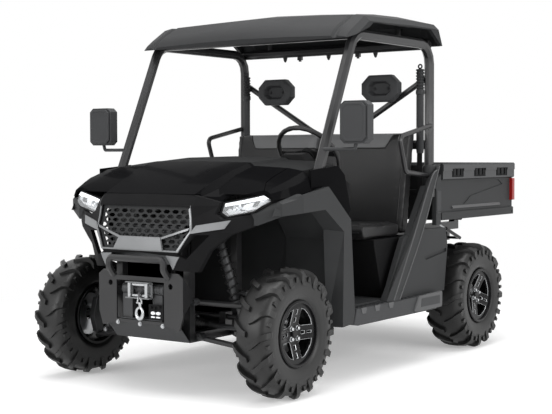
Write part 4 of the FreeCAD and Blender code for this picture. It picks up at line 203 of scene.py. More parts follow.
def build_materials():
    """The finishes: paint, moulded plastic, powder coat, satin trim, rubber, metals, vinyl, lenses, the lamp strip's
    light and a faint painted glow.
    """
    finish_of("gloss_black", (0.005, 0.005, 0.0055), 0.3, coat=0.032, grain=0.02, bump=0.02, mottle=0.1, shine=0.002)
    for name, colour, rough, bump, shine in (
        ("charcoal", (0.034, 0.035, 0.036), 0.5, 0.22, 0.12),
        ("charcoal_light", (0.048, 0.049, 0.051), 0.46, 0.2, 0.12),
        ("cowl_black", (0.026, 0.0265, 0.027), 0.6, 0.2, 0.003),
        ("roof_grey", (0.027, 0.0275, 0.0285), 0.5, 0.2, 0.08),
        # mesh_grey is a lighter grey: the sills' raised panels and lugs have it, and on the slanted bar's rims and
        # the bed's ledges it is a painted highlight.
        ("mesh_grey", (0.075, 0.076, 0.078), 0.42, 0.15, 0.3),
        ("bed_band", (0.062, 0.063, 0.065), 0.45, 0.18, 0.2),
        ("charcoal_dark", (0.012, 0.012, 0.0125), 0.5, 0.2, 0.03),
        ("dark_plastic", (0.011, 0.011, 0.0115), 0.55, 0.2, 0.08),
    ):
        finish_of(name, colour, rough, bump=bump, kind="pebble", shine=shine)
    bright = (0.5, 0.51, 0.52)
    finish_of("powder_black", (0.02, 0.02, 0.021), 0.32, coat=0.15, grain=0.0009, bump=0.1, mottle=0.1, shine=0.4)
    finish_of("satin_grey", (0.21, 0.215, 0.22), 0.34, metal=0.35, grain=0.0006, bump=0.06, mottle=0.06)
    finish_of("rubber", (0.0075, 0.0075, 0.0075), 0.42, grain=0.0008, bump=0.22, mottle=0.25, shine=0.4)
    finish_of("rim_black", (0.007, 0.007, 0.0075), 0.25, coat=0.1, grain=0.0006, bump=0.05)
    finish_of("machined", bright, 0.28, metal=1.0, grain=0.0007, bump=0.08, mottle=0.05, kind="brushed")
    finish_of("steel", bright, 0.28, metal=1.0, grain=0.0008, bump=0.06, mottle=0.08)
    finish_of("cast_dark", (0.05, 0.051, 0.053), 0.5, metal=0.5, grain=0.0018, bump=0.35, mottle=0.25)
    finish_of("spring_black", (0.014, 0.014, 0.0145), 0.3, coat=0.2, grain=0.0009, bump=0.06)
    for name, colour, rough, grain, bump, mottle, shine in (
        ("vinyl_black", (0.017, 0.017, 0.0175), 0.38, 0.0026, 0.3, 0.12, 0.32),
        ("vinyl_grey", (0.17, 0.172, 0.175), 0.5, 0.0024, 0.28, 0.08, 0.25),
    ):
        finish_of(name, colour, rough, grain=grain, bump=bump, mottle=mottle, kind="pebble", shine=shine)
    finish_of("webbing", (0.014, 0.014, 0.0145), 0.75, grain=0.0011, bump=0.5, kind="brushed")
    finish_of("rope", (0.12, 0.12, 0.125), 0.6, grain=0.0018, bump=0.5, mottle=0.2)
    finish_of("reflector", (0.72, 0.74, 0.76), 0.16, metal=1.0, grain=0.004, bump=0.12, mottle=0.05)
    finish_of("mirror_glass", (0.8, 0.82, 0.84), 0.04, metal=1.0, grain=0.05, bump=0.01, mottle=0.02)
    finish_of("copper_fin", (0.09, 0.092, 0.095), 0.45, metal=0.8, grain=0.0011, bump=0.6, kind="brushed")
    finish_of("red_lens", (0.28, 0.008, 0.007), 0.2, coat=0.6, grain=0.004, bump=0.25, kind="pebble")
    lens = finish_of("clear_lens", (0.8, 0.82, 0.84), 0.06, coat=0.5, grain=0.03, bump=0.02, mottle=0.01, shine=0.5)
    lens.inputs["Alpha"].default_value = 0.18
    # The first finish glows as the headlamps' light strip, a real lamp. The faint glow of the second is painted
    # light, on the headlamps' lower panels and the winch's plugs, which are no lamps.
    for name, glow in (("lamp_white", 1.0), ("lamp_dim", 0.12)):
        lamp = finish_of(name, (0.9, 0.91, 0.93), 0.3, grain=0.002, bump=0.1, mottle=0.03, kind="pebble")
        lamp.inputs["Emission Color"].default_value = (0.95, 0.97, 1, 1)
        lamp.inputs["Emission Strength"].default_value = glow


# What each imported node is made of, and the radius of its eased edges
NODE_LOOKS = (
    ("charcoal", 0.004, ("side_panels", "bed")),
    ("charcoal", 0, ("tailgate",)),
    ("cowl_black", 0.005, ("cowl",)),
    ("charcoal", 0.006, ("flares",)),
    ("charcoal_light", 0.006, ("sills", "skid_plate")),
    ("roof_grey", 0.008, ("roof",)),
    ("gloss_black", 0.004, ("hood", "fenders")),
    ("charcoal_dark", 0.003, ("fascia",)),
    ("charcoal", 0.001, ("grille",)),
    ("satin_grey", 0.0012, ("nose_trim",)),
    ("charcoal_dark", 0.004, ("seat_base", "dash", "engine")),
    ("charcoal", 0.004, ("floor",)),
    ("powder_black", 0.004, ("roll_cage", "frame", "front_bumper")),
    ("powder_black", 0.003, ("front_arms", "rear_arms", "steering_rack")),
    ("charcoal_light", 0.008, ("mirrors",)),
    ("cast_dark", 0.003, ("knuckle_left", "knuckle_right", "rear_hubs", "drive_shafts", "winch", "muffler")),
    ("spring_black", 0.002, ("shocks", "strut_barrel")),
    ("steel", 0.0006, ("strut_rod",)),
    ("copper_fin", 0.002, ("radiator",)),
    ("red_lens", 0.003, ("tail_lamps",)),
    ("webbing", 0.002, ("seat_belts",)),
    ("vinyl_black", 0.006, ("seat_cushion", "seat_backs", "headrests")),
    ("rubber", 0.002, tuple(f"tyre_{end}_{side}" for end, side, _ in WHEELS)),
    ("rim_black", 0.001, tuple(f"rim_{end}_{side}" for end, side, _ in WHEELS)),
    ("dark_plastic", 0.002, ("steering_wheel",)),
)


def add_bevel(piece, width, angle):
    """Rounds a piece's edges where its faces turn by more than an angle, for the render only."""
    bevel = piece.modifiers.new("bevel", "BEVEL")
    bevel.width = width
    bevel.segments = 2
    bevel.limit_method = "ANGLE"
    bevel.angle_limit = math.radians(angle)
    bevel.harden_normals = True
    return bevel


def ease_edges(piece, radius):
    """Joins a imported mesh's facets again and rounds its edges."""
    if not radius:
        return
    for polygon in piece.data.polygons:
        polygon.use_smooth = True
    weld = piece.modifiers.new("weld", "WELD")
    weld.merge_threshold = 0.00005
    merge = piece.modifiers.new("merge", "DECIMATE")
    merge.decimate_type = "DISSOLVE"
    merge.angle_limit = math.radians(0.5)
    add_bevel(piece, radius, 20).miter_outer = "MITER_ARC"


def dress_nodes():
    """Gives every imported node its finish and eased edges."""
    for look, radius, names in NODE_LOOKS:
        for name in names:
            piece = NODES[name]
            custom = piece.data.attributes.get("custom_normal")
            if custom:
                piece.data.attributes.remove(custom)
            piece.data.materials.clear()
            piece.data.materials.append(MATERIALS[look])
            ease_edges(piece, radius)


def finish_faces(name, look, chosen):
    """Gives a second finish to the faces of a node whose middle is chosen."""
    mesh = NODES[name].data
    mesh.materials.append(MATERIALS[look])
    for polygon in mesh.polygons:
        if chosen(polygon.center):
            polygon.material_index = len(mesh.materials) - 1


def loft(form, rows, around=True, capped=False):
    """Faces between rows of points, each row closed into a ring or open."""
    rings = [[form.verts.new(spot) for spot in row] for row in rows]
    for ring, onward in zip(rings, rings[1:]):
        for number in range(len(ring) if around else len(ring) - 1):
            after = (number + 1) % len(ring)
            form.faces.new((ring[number], ring[after], onward[after], onward[number]))
    if capped:
        form.faces.new(rings[0])
        form.faces.new(rings[-1][::-1])
    return rings


def box(form, corner, other):
    """A box between two corners, given in any order."""
    (x0, x1), (y0, y1), (z0, z1) = (sorted(pair) for pair in zip(corner, other))
    loft(form, [[(x, y0, z0), (x, y1, z0), (x, y1, z1), (x, y0, z1)] for x in (x0, x1)], capped=True)


def plate(form, place, across, up, out, outline, stations):
    """A plate or panel: an outline in two directions from a place, at each lift outward and size of it."""
    place, across, up, out = (Vector(each) for each in (place, across, up, out))
    loft(form, [
        [place + across * (wide * x) + up * (tall * z) + out * lift for x, z in outline]
        for lift, wide, tall in stations
    ], capped=True)


def frame_of(run):
    """Two directions square to a run and to each other."""
    run = Vector(run).normalized()
    side = run.cross(Z if abs(run.z) < 0.9 else X).normalized()
    return side, run.cross(side)


def ring_at(spot, side, up, radius, sides):
    """Points on a circle."""
    spot = Vector(spot)
    return [spot + side * (radius * math.cos(turn)) + up * (radius * math.sin(turn)) for turn in circle(sides)]


def lathed(form, place, axis, corners, sides=28, closed=False):
    """A turned form from a place: its places along an axis with their radii, solid or a closed ring."""
    along, side, up = axis
    rows = [ring_at(Vector(place) + along * run, side, up, radius, sides) for run, radius in corners]
    if closed:
        closed_loop(form, rows)
    else:
        loft(form, rows, capped=True)


def closed_loop(form, rows, around=True):
    """Faces between rows of points that come back to the first row."""
    loft(form, rows + [rows[0]], around)
    bmesh.ops.remove_doubles(form, verts=form.verts, dist=MERGE)


def round_bar(form, start, end, radius, sides=20):
    """A round bar between two places."""
    run = Vector(end) - Vector(start)
    lathed(form, start, (run, *frame_of(run)), ((0, radius), (1, radius)), sides)


def swept(form, places, radius, sides=10):
    """A round tube through places, with a smooth line between them."""
    places = smooth_line([Vector(place) for place in places], 6)
    side, up = frame_of(places[1] - places[0])
    rows = []
    for number, place in enumerate(places):
        before, after = places[max(number - 1, 0)], places[min(number + 1, len(places) - 1)]
        way = (after - before).normalized()
        side = (side - way * side.dot(way)).normalized()
        up = way.cross(side)
        rows.append(ring_at(place, side, up, radius, sides))
    loft(form, rows, capped=True)


def smooth_line(places, steps):
    """Places along a smooth line through the given ones."""
    line = []
    for number in range(len(places) - 1):
        first = places[max(number - 1, 0)]
        second, third = places[number], places[number + 1]
        fourth = places[min(number + 2, len(places) - 1)]
        for step in range(steps):
            way = step / steps
            line.append(
                0.5 * ((2 * second) + (third - first) * way + (2 * first - 5 * second + 4 * third - fourth) * way ** 2
                + (3 * second - first - 3 * third + fourth) * way ** 3)
            )
    return line + [places[-1]]


def hexagon(form, place, way, radius, height):
    """A bolt head with its washer, seated at a place and facing a way."""
    way = Vector(way).normalized()
    axis = (way, *frame_of(way))
    lathed(form, place, axis, ((0, radius * 1.35), (height * 0.3, radius * 1.35)), 20)
    lathed(form, place, axis, ((height * 0.3, radius), (height * 0.9, radius), (height, radius * 0.8)), 6)


def place_form(name, form, looks, body="chassis", bevel=0.0, sharp=35):
    """Turns a form into a piece that rides on a body, with its finishes and eased edges."""
    bmesh.ops.recalc_face_normals(form, faces=form.faces)
    for edge in form.edges:
        edge.smooth = not (len(edge.link_faces) == 2 and edge.calc_face_angle() > math.radians(sharp))
    for face in form.faces:
        face.smooth = True
    mesh = bpy.data.meshes.new(name)
    form.to_mesh(mesh)
    form.free()
    for look in (looks,) if isinstance(looks, str) else looks:
        mesh.materials.append(MATERIALS[look])
    piece = bpy.data.objects.new(name, mesh)
    bpy.context.collection.objects.link(piece)
    if bevel:
        add_bevel(piece, bevel, 30)
    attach(piece, body)
    return piece


# Round a tyre: how far in from its outer face, as a share of its width, and its radius
TYRE_PROFILE = (
    (0.15, 0.1535), (0.125, 0.158), (0.1, 0.1665), (0.066, 0.178), (0.05, 0.1905), (0.042, 0.203), (0.03, 0.226),
    (0.036, 0.249), (0.07, 0.272), (0.125, 0.288), (0.21, 0.2965), (0.36, 0.3005), (0.5, 0.302),
)
# One lug from the crown over the shoulder: its place across, its lean, its foot, its top and its width
LUG_STATIONS = (
    (0.47, 1.12, 0.93, 0.999, 0.9), (0.36, 0.78, 0.93, 1.0, 1.0), (0.24, 0.18, 0.91, 0.998, 1.02),
    (0.14, -0.4, 0.87, 0.985, 1.05), (0.06, -0.66, 0.83, 0.95, 1.1), (0.012, -0.78, 0.78, 0.9, 1.05),
    (0.018, -0.84, 0.74, 0.845, 0.9),
)
# The small block on the wall below each lug: its edges round the wheel and their radii as shares
WALL_BLOCK = ((-1, 0.8), (1, 0.8), (0.7, 0.875), (-0.7, 0.875))
WALL_BLOCK_TURN = 0.115
LUG_COUNT = 16
LUG_WIDTH = 0.03
TYRE_RADIUS = 0.3175


def wheel_spot(axle, way, inward, radius, turn):
    """A place on a wheel, from how far it lies in from the wheel's face, its radius and its turn."""
    return Vector((axle + radius * math.sin(turn), way * (WHEEL_FACE - inward), HUB_HEIGHT + radius * math.cos(turn)))


def circle(count):
    """The angles of evenly spaced places round a circle."""
    return [2 * math.pi * step / count for step in range(count)]


def turned(form, axle, way, corners, sides=96, around=True):
    """A form of revolution round a wheel's axle, from places inward and their radii."""
    rows = [[wheel_spot(axle, way, inward, radius, turn) for inward, radius in corners] for turn in circle(sides)]
    closed_loop(form, rows, around)


def build_tyre(end, side, way):
    """A tyre with its carcass, the rings on its walls and two rows of leaning lugs."""
    name = f"tyre_{end}_{side}"
    low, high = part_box(name)
    width = high.y - low.y
    axle = centre(name).x
    outer = smooth_line([Vector((share * width, radius)) for share, radius in TYRE_PROFILE], 3)
    half = [tuple(spot) for spot in outer]
    profile = half + [(width - inward, radius) for inward, radius in half[-2::-1]]
    form = bmesh.new()
    turned(form, axle, way, profile)
    for flip in (False, True):
        for count in range(LUG_COUNT):
            start = 2 * math.pi * (count + (0.5 if flip else 0)) / LUG_COUNT
            rows = []
            for across, lean, foot, top, wide in LUG_STATIONS:
                inward = width * ((1 - across) if flip else across)
                row = []
                for edge, height in ((-0.5, foot), (0.5, foot), (0.44, top), (-0.44, top)):
                    offset = LUG_WIDTH * (lean + edge * wide)
                    radius = TYRE_RADIUS * height
                    row.append(wheel_spot(axle, way, inward, radius, start + offset / radius))
                rows.append(row)
            loft(form, rows, capped=True)
            rows = []
            for inward in (0.0035, 0.022):
                place = width - inward if flip else inward
                row = []
                for edge, share in WALL_BLOCK:
                    radius = TYRE_RADIUS * share
                    row.append(wheel_spot(axle, way, place, radius, start + WALL_BLOCK_TURN + edge * 0.011 / radius))
                rows.append(row)
            loft(form, rows, capped=True)
    piece = place_form(f"{name}_rubber", form, "rubber", f"wheel_{end}_{side}", bevel=0.002, sharp=30)
    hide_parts(name)


# One of a rim's four windows, and its slots, as places across and up; the disc's face falls to the hub
WINDOW = ((0.034, 0.046), (0.046, 0.034), (0.121, 0.033), (0.113, 0.06), (0.09, 0.088), (0.06, 0.113), (0.033, 0.121))
SLOTS = (((-0.0065, 0.092), (0.0065, 0.092), (0.0065, 0.119), (-0.0065, 0.119)),
         ((-0.009, 0.055), (0.009, 0.055), (0.0075, 0.079), (-0.0075, 0.079)))
DISC_EDGE, DISC_HUB, DISC_DEPTH, DISC_RADIUS = 0.026, 0.049, 0.014, 0.1475


def disc_inward(radius):
    """How far in the disc's front face lies at a radius."""
    share = min(max((radius - 0.046) / 0.078, 0), 1)
    return DISC_HUB + (DISC_EDGE - DISC_HUB) * share


def disc_mesh(turn):
    """A flat disc with the rim's windows and slots cut out, its edges eased, round the Z axis."""
    curve = bpy.data.curves.new("rim_disc", "CURVE")
    curve.dimensions = "2D"
    curve.fill_mode = "BOTH"
    curve.extrude = DISC_DEPTH / 2
    curve.bevel_depth = 0.0016
    curve.bevel_resolution = 1
    outlines = [[(DISC_RADIUS * math.cos(angle), DISC_RADIUS * math.sin(angle)) for angle in circle(72)]]
    for quarter in range(4):
        for outline in (WINDOW,) + SLOTS:
            spin = math.radians(90 * quarter + turn)
            outlines.append([
                (x * math.cos(spin) - y * math.sin(spin), x * math.sin(spin) + y * math.cos(spin)) for x, y in outline
            ])
    for outline in outlines:
        spline = curve.splines.new("POLY")
        spline.points.add(len(outline) - 1)
        for point, (x, y) in zip(spline.points, outline):
            point.co = (x, y, 0, 1)
        spline.use_cyclic_u = True
    holder = bpy.data.objects.new("rim_disc", curve)
    mesh = bpy.data.meshes.new_from_object(holder)
    bpy.data.objects.remove(holder)
    bpy.data.curves.remove(curve)
    return mesh


def build_rim(end, side, way):
    """A rim: rolled barrel, four twin spokes with machined edges, cap and wheel nuts."""
    name, body = f"rim_{end}_{side}", f"wheel_{end}_{side}"
    axle = centre(name).x
    low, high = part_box(name)
    width = high.y - low.y
    lip = 0.013
    back = lip + width
    form = bmesh.new()
    barrel = (
        (lip + 0.002, 0.1595), (lip + 0.0045, 0.1615), (lip + 0.009, 0.1605), (lip + 0.011, 0.1535),
        (0.055, 0.1515), (0.075, 0.1475), (back - 0.03, 0.1475), (back - 0.012, 0.1535), (back - 0.008, 0.1605),
        (back - 0.003, 0.1605), (back, 0.1585), (back, 0.1465), (0.08, 0.1435), (0.03, 0.1455), (lip + 0.002, 0.148),
        (lip, 0.153),
    )
    turned(form, axle, way, barrel)
    turned(form, axle, way, ((0.0365, 0.0), (0.0365, 0.017), (0.04, 0.021), (0.052, 0.0225)), sides=48, around=False)
    place_form(f"{name}_barrel", form, "rim_black", body, sharp=40)

    turn = 22 if end == "rear" else 0
    mesh = disc_mesh(turn)
    form = bmesh.new()
    form.from_mesh(mesh)
    bpy.data.meshes.remove(mesh)
    for _ in range(3):
        bmesh.ops.triangulate(form, faces=form.faces)
        long_edges = [edge for edge in form.edges if edge.calc_length() > 0.02]
        bmesh.ops.subdivide_edges(form, edges=long_edges, cuts=1)
    bmesh.ops.triangulate(form, faces=form.faces)
    form.normal_update()
    for face in form.faces:
        slope = abs(face.normal.z)
        radius = math.hypot(*face.calc_center_median()[:2])
        face.material_index = 1 if face.calc_center_median().z > 0 and 0.15 < slope < 0.95 and radius < 0.14 else 0
    for vert in form.verts:
        across, up, height = vert.co
        inward = disc_inward(math.hypot(across, up)) + DISC_DEPTH / 2 - height
        vert.co = (axle + across, way * (WHEEL_FACE - inward), HUB_HEIGHT + up)
    disc = place_form(f"{name}_disc", form, ("rim_black", "machined"), body, sharp=20)

    form = bmesh.new()
    for quarter in range(4):
        spin = math.radians(90 * quarter + 45 + turn)
        face = way * (WHEEL_FACE - DISC_HUB)
        spot = Vector((axle + 0.035 * math.cos(spin), face, HUB_HEIGHT + 0.035 * math.sin(spin)))
        hexagon(form, spot, (0, way, 0), 0.0095, 0.017)
    place_form(f"{name}_nuts", form, "machined", body, bevel=0.001)

    form = bmesh.new()
    turned(form, axle, way, ((0.118, 0.058), (0.122, 0.058), (0.122, 0.112), (0.118, 0.112)), sides=64)
    turned(form, axle, way, ((0.1, 0.03), (0.121, 0.03), (0.121, 0.06), (0.1, 0.06)), sides=48)
    place_form(f"{name}_brake_disc", form, "steel", body, sharp=40)
    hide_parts(name)


# A headlamp's face: its columns across, and how far ahead of the axle each lies at the foot, middle and top
LAMP_COLUMNS = (0, 0.41, 0.78, 1)
LAMP_AHEAD = ((0.193, 0.16, 0.12), (0.165, 0.13, 0.09), (0.15, 0.122, 0.087), (0.09, 0.07, 0.045))
LAMP_INNER, LAMP_WIDE, LAMP_LOW, LAMP_TALL = 0.385, 0.28, 0.86, 0.14
LAMP_OUTLINE = ((0.046, 0.236), (0.18, 0.094), (0.672, 0.29), (0.957, 0.68), (0.779, 0.915), (0.045, 0.614))
LAMP_RIM = ((0.08, 0.27), (0.195, 0.145), (0.66, 0.335), (0.91, 0.69), (0.772, 0.872), (0.08, 0.59))
# The panels of a headlamp: outline, how far behind the face it starts and ends, and its finish
LAMP_PANELS = (
    ("strip", ((0.1, 0.475), (0.088, 0.575), (0.77, 0.86), (0.86, 0.755)), 0.02, 0.005, "lamp_white"),
    # The lower panel glows faintly: painted light, so that it looks lit behind the lens.
    ("lower", ((0.36, 0.375), (0.5, 0.345), (0.66, 0.41), (0.85, 0.67), (0.79, 0.71), (0.4, 0.55)),
     0.03, 0.024, "lamp_dim"),
    ("outer", ((0.69, 0.52), (0.72, 0.51), (0.85, 0.68), (0.8, 0.725), (0.71, 0.68)), 0.024, 0.016, "reflector"),
    ("shelf", ((0.12, 0.3), (0.2, 0.19), (0.5, 0.31), (0.5, 0.335), (0.34, 0.33), (0.16, 0.4)),
     0.026, 0.014, "reflector"),
    ("divider", ((0.585, 0.47), (0.665, 0.5), (0.69, 0.665), (0.61, 0.63)), 0.025, 0.012, "dark_plastic"),
)


def between(values, places, place):
    """A value along a row of places, on the straight line between its two neighbours."""
    for number in range(len(places) - 2):
        if place <= places[number + 1]:
            break
    else:
        number = len(places) - 2
    share = (place - places[number]) / (places[number + 1] - places[number])
    return values[number] + (values[number + 1] - values[number]) * share


def lamp_spot(across, up, behind, way):
    """A place on or behind a headlamp's face."""
    columns = [between(column, (0, 0.5, 1), up) for column in LAMP_AHEAD]
    ahead = between(columns, LAMP_COLUMNS, across)
    return Vector((FRONT_AXLE + ahead - behind, way * (LAMP_INNER + LAMP_WIDE * across), LAMP_LOW + LAMP_TALL * up))


def lamp_panel(name, outline, back, front, look, way):
    """A thin panel that follows a headlamp's face."""
    form = bmesh.new()
    form.faces.new([form.verts.new((across, up, back)) for across, up in outline])
    for place, square in (((0.41, 0, 0), (1, 0, 0)), ((0.78, 0, 0), (1, 0, 0)), ((0, 0.5, 0), (0, 1, 0))):
        parts = form.verts[:] + form.edges[:] + form.faces[:]
        bmesh.ops.bisect_plane(form, geom=parts, plane_co=place, plane_no=square)
    grown = bmesh.ops.extrude_face_region(form, geom=form.faces[:])["geom"]
    for vert in grown:
        if isinstance(vert, bmesh.types.BMVert):
            vert.co.z = front
    for vert in form.verts:
        vert.co = lamp_spot(*vert.co, way)
    return place_form(name, form, look, bevel=0.001)


def build_headlamps():
    """Headlamps with a light strip, a shaped reflector, a projector and a clear lens; the lower panel has a faint
    painted glow.
    """
    for side, way in SIDES:
        form = bmesh.new()
        edges = ((LAMP_OUTLINE, 0.042), (LAMP_OUTLINE, 0.003), (LAMP_RIM, 0.003), (LAMP_RIM, 0.032))
        loft(form, [[lamp_spot(*spot, behind, way) for spot in outline] for outline, behind in edges], capped=True)
        bucket = place_form(f"lamp_bucket_{side}", form, "dark_plastic", bevel=0.001)
        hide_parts("headlamps")
        for name, outline, back, front, look in LAMP_PANELS:
            lamp_panel(f"lamp_{name}_{side}", outline, back, front, look, way)
        lamp_panel(f"lamp_cover_{side}", LAMP_RIM, 0.006, 0.0035, "clear_lens", way)
        form = bmesh.new()
        lathed(form, lamp_spot(0.3, 0.42, 0.03, way), ROUND_X, (
            (0.0195, 0.003), (0.0175, 0.008), (0.013, 0.0125), (0.0135, 0.0145), (0.021, 0.016), (0.021, 0.0185),
            (0.01, 0.021), (0.0, 0.021),
        ), 32)
        place_form(f"lamp_projector_{side}", form, "reflector", sharp=40)


FAIRLEAD = (0.055, 0.041)
WINCH_MIDDLE, WINCH_FACE, HOOK_PLACE = 0.512, 1.421, 0.012


def build_winch():
    """The winch: drum and rope, ribbed motor housings, roller fairlead, hook and its connectors, whose pale plugs
    have a painted glow.
    """
    drum = Vector((1.352, 0, WINCH_MIDDLE))
    form = bmesh.new()
    for way in (-1, 1):
        lathed(form, drum, (Y * way, X, Z), (
            (0.062, 0.026), (0.066, 0.03), (0.072, 0.03), (0.076, 0.027), (0.082, 0.03), (0.088, 0.03),
            (0.092, 0.027), (0.098, 0.03), (0.104, 0.03), (0.108, 0.027), (0.118, 0.03), (0.134, 0.028),
            (0.137, 0.02),
        ), 32)
        box(form, (1.328, way * 0.066, 0.364), (1.376, way * 0.13, 0.49))
    box(form, (1.326, -0.136, 0.363), (1.388, 0.136, 0.37))
    housing = place_form("winch_housing", form, "cast_dark", bevel=0.002)
    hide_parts("winch")

    form = bmesh.new()
    round_bar(form, drum - Y * 0.062, drum + Y * 0.062, 0.013)
    for turn in range(11):
        rows = []
        for step in range(33):
            angle = 2 * math.pi * step / 32
            out = Vector((math.cos(angle), 0, math.sin(angle)))
            middle = drum + out * 0.0185 + Y * (0.0106 * (turn + step / 32) - 0.0583)
            rows.append(ring_at(middle, out, Y, 0.0052, 8))
        loft(form, rows, capped=True)
    hook = Vector((WINCH_FACE - 0.011, HOOK_PLACE, 0))
    fall = hook + X * 0.005
    round_bar(form, (drum.x + 0.016, HOOK_PLACE, WINCH_MIDDLE), fall + Z * (WINCH_MIDDLE - 0.014), 0.005)
    round_bar(form, fall + Z * (WINCH_MIDDLE - 0.013), fall + Z * 0.466, 0.005)
    place_form("winch_rope", form, "rope", sharp=50)

    form = bmesh.new()
    wide, tall = FAIRLEAD
    for way in (-1, 1):
        for ahead, reach, radius in ((1.409, tall - 0.006, 0.0095), (1.4, tall, 0.004)):
            middle = Vector((ahead, way * wide, WINCH_MIDDLE))
            round_bar(form, middle - Z * reach, middle + Z * reach, radius)
        level = WINCH_MIDDLE + way * (tall - 0.013)
        round_bar(form, (1.398, 0.014 - wide, level), (1.398, wide - 0.014, level), 0.0095)
    place_form("winch_rollers", form, "steel", bevel=0.0012)
    form = bmesh.new()
    for way in (-1, 1):
        low, high = WINCH_MIDDLE - tall, WINCH_MIDDLE + tall
        edge = WINCH_MIDDLE + way * tall
        box(form, (1.389, -wide - 0.022, edge), (1.417, wide + 0.022, edge - way * 0.005))
        box(form, (1.386, way * (wide + 0.022), low), (1.392, way * (wide - 0.006), high))
        for level in (low + 0.016, high - 0.016):
            hexagon(form, (1.392, way * (wide + 0.014), level), X, 0.006, 0.008)
    place_form("winch_fairlead", form, "satin_grey", bevel=0.0015)

    form = bmesh.new()
    rows = []
    for turn in circle(40):
        middle = hook + Y * (0.021 * math.sin(turn)) + Z * (0.4 + 0.027 * math.cos(turn))
        rows.append(ring_at(middle, Y * math.sin(turn) + Z * math.cos(turn), X, 0.0085 - 0.002 * math.cos(turn), 12))
    closed_loop(form, rows)
    shank = ((0.002, 0.426), (0.004, 0.438), (0, 0.452))
    swept(form, [hook + Vector((0, across, up)) for across, up in shank], 0.0085)
    for way in (-1, 1):
        line = ((0.0125, 0.447), (0.0125, 0.46), (0.007, 0.474))
        swept(form, [hook + Vector((0, way * across, up)) for across, up in line], 0.005)
    for level, reach, radius in ((0.45, 0.019, 0.0045), (0.474, 0.01, 0.008)):
        round_bar(form, hook + Z * level - Y * reach, hook + Z * level + Y * reach, radius)
    place_form("winch_hook", form, "steel", sharp=40)

    form = bmesh.new()
    box(form, (1.388, 0.055, 0.372), (1.393, 0.148, 0.446))
    for across, level in ((0.075, 0.432), (0.1, 0.428), (0.128, 0.436)):
        hexagon(form, (1.393, across, level), X, 0.0065, 0.01)
    place_form("winch_panel", form, "dark_plastic", bevel=0.002)
    # The plugs are pale and glow faintly: the glow is painted light, for they are no lamps.
    form = bmesh.new()
    for across in (0.087, 0.12):
        corners = ((0, 0.0135), (0.006, 0.0135), (0.009, 0.01), (0.0095, 0.004))
        lathed(form, (1.393, across, 0.404), (X, Y, Z * 0.62), corners, 24)
        box(form, (1.393, across - 0.011, 0.381), (1.4, across + 0.011, 0.388))
    place_form("winch_plugs", form, "lamp_dim", bevel=0.0008)


BACK_FRONT = ((-0.13, 0.722), (-0.15, 0.85), (-0.186, 1.1), (-0.205, 1.21), (-0.224, 1.3))
BACK_REAR = ((-0.288, 1.306), (-0.27, 1.2), (-0.245, 1.0), (-0.203, 0.722))
CUSHION_SIDE = (
    (-0.108, 0.722), (0.1, 0.72), (0.265, 0.722), (0.288, 0.74), (0.29, 0.768), (0.272, 0.788), (0.1, 0.782),
    (-0.108, 0.786),
)
# Seams: below a backrest's grey panel as places across and up, round a cushion's top as places ahead and across
PANEL_SEAM = ((0.03, 1.212), (0.25, 1.212), (0.44, 1.212), (0.47, 1.225), (0.512, 1.305))
CUSHION_SEAM = ((-0.07, 0.07), (0.2, 0.07), (0.235, 0.11), (0.235, 0.5), (0.2, 0.56), (-0.07, 0.56))


def pad_of(name, corners, inner, outer, swell, body="chassis"):
    """A padded form from a side view: remeshed, eased, and swollen by a cloth run under pressure."""
    form = bmesh.new()
    loft(form, [[(x, across, z) for x, z in corners] for across in (inner, outer)], capped=True)
    bmesh.ops.recalc_face_normals(form, faces=form.faces)
    mesh = bpy.data.meshes.new(name)
    form.to_mesh(mesh)
    form.free()
    pad = bpy.data.objects.new(name, mesh)
    bpy.context.collection.objects.link(pad)
    remesh = pad.modifiers.new("remesh", "REMESH")
    remesh.mode = "VOXEL"
    remesh.voxel_size = 0.009
    ease = pad.modifiers.new("ease", "SMOOTH")
    ease.iterations = 6
    settle(pad)
    start = [vert.co.copy() for vert in pad.data.vertices]
    cloth = pad.modifiers.new("cloth", "CLOTH")
    cloth.settings.quality = 4
    cloth.settings.use_pressure = True
    cloth.settings.uniform_pressure_force = 4
    cloth.settings.effector_weights.gravity = 0
    cloth.point_cache.frame_start, cloth.point_cache.frame_end = 1, 20
    for number in range(1, 21):
        bpy.context.scene.frame_set(number)
    settle(pad)
    bpy.context.scene.frame_set(1)
    for vert, place in zip(pad.data.vertices, start):
        push = vert.co - place
        if push.length > swell:
            vert.co = place + push * (swell / push.length)
    finer = pad.modifiers.new("finer", "SUBSURF")
    finer.levels = finer.render_levels = 1
    settle(pad)
    for polygon in pad.data.polygons:
        polygon.use_smooth = True
    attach(pad, body)
    return pad


def settle(piece):
    """Applies a piece's modifiers to its mesh."""
    bpy.context.view_layer.update()
    graph = bpy.context.evaluated_depsgraph_get()
    mesh = bpy.data.meshes.new_from_object(piece.evaluated_get(graph))
    piece.modifiers.clear()
    old = piece.data
    piece.data = mesh
    bpy.data.meshes.remove(old)


def seam_on(name, pad, places, radius, way):
    """A raised seam along places that are dropped onto a pad's surface."""
    mesh = pad.data
    tree = BVHTree.FromPolygons([vert.co for vert in mesh.vertices], [polygon.vertices for polygon in mesh.polygons])
    hits = [tree.ray_cast(place, way)[0] for place in smooth_line([Vector(spot) for spot in places], 8)]
    form = bmesh.new()
    swept(form, [hit - way * radius * 0.3 for hit in hits if hit], radius, 8)
    place_form(name, form, "vinyl_black", sharp=60)


def grey_insert(place):
    """Whether a place lies in a backrest's grey upper panel."""
    across = abs(place.y)
    return place.x > -0.268 and place.z > 1.212 and across < 0.462 + (place.z - 1.212) * 0.5 and across > 0.022


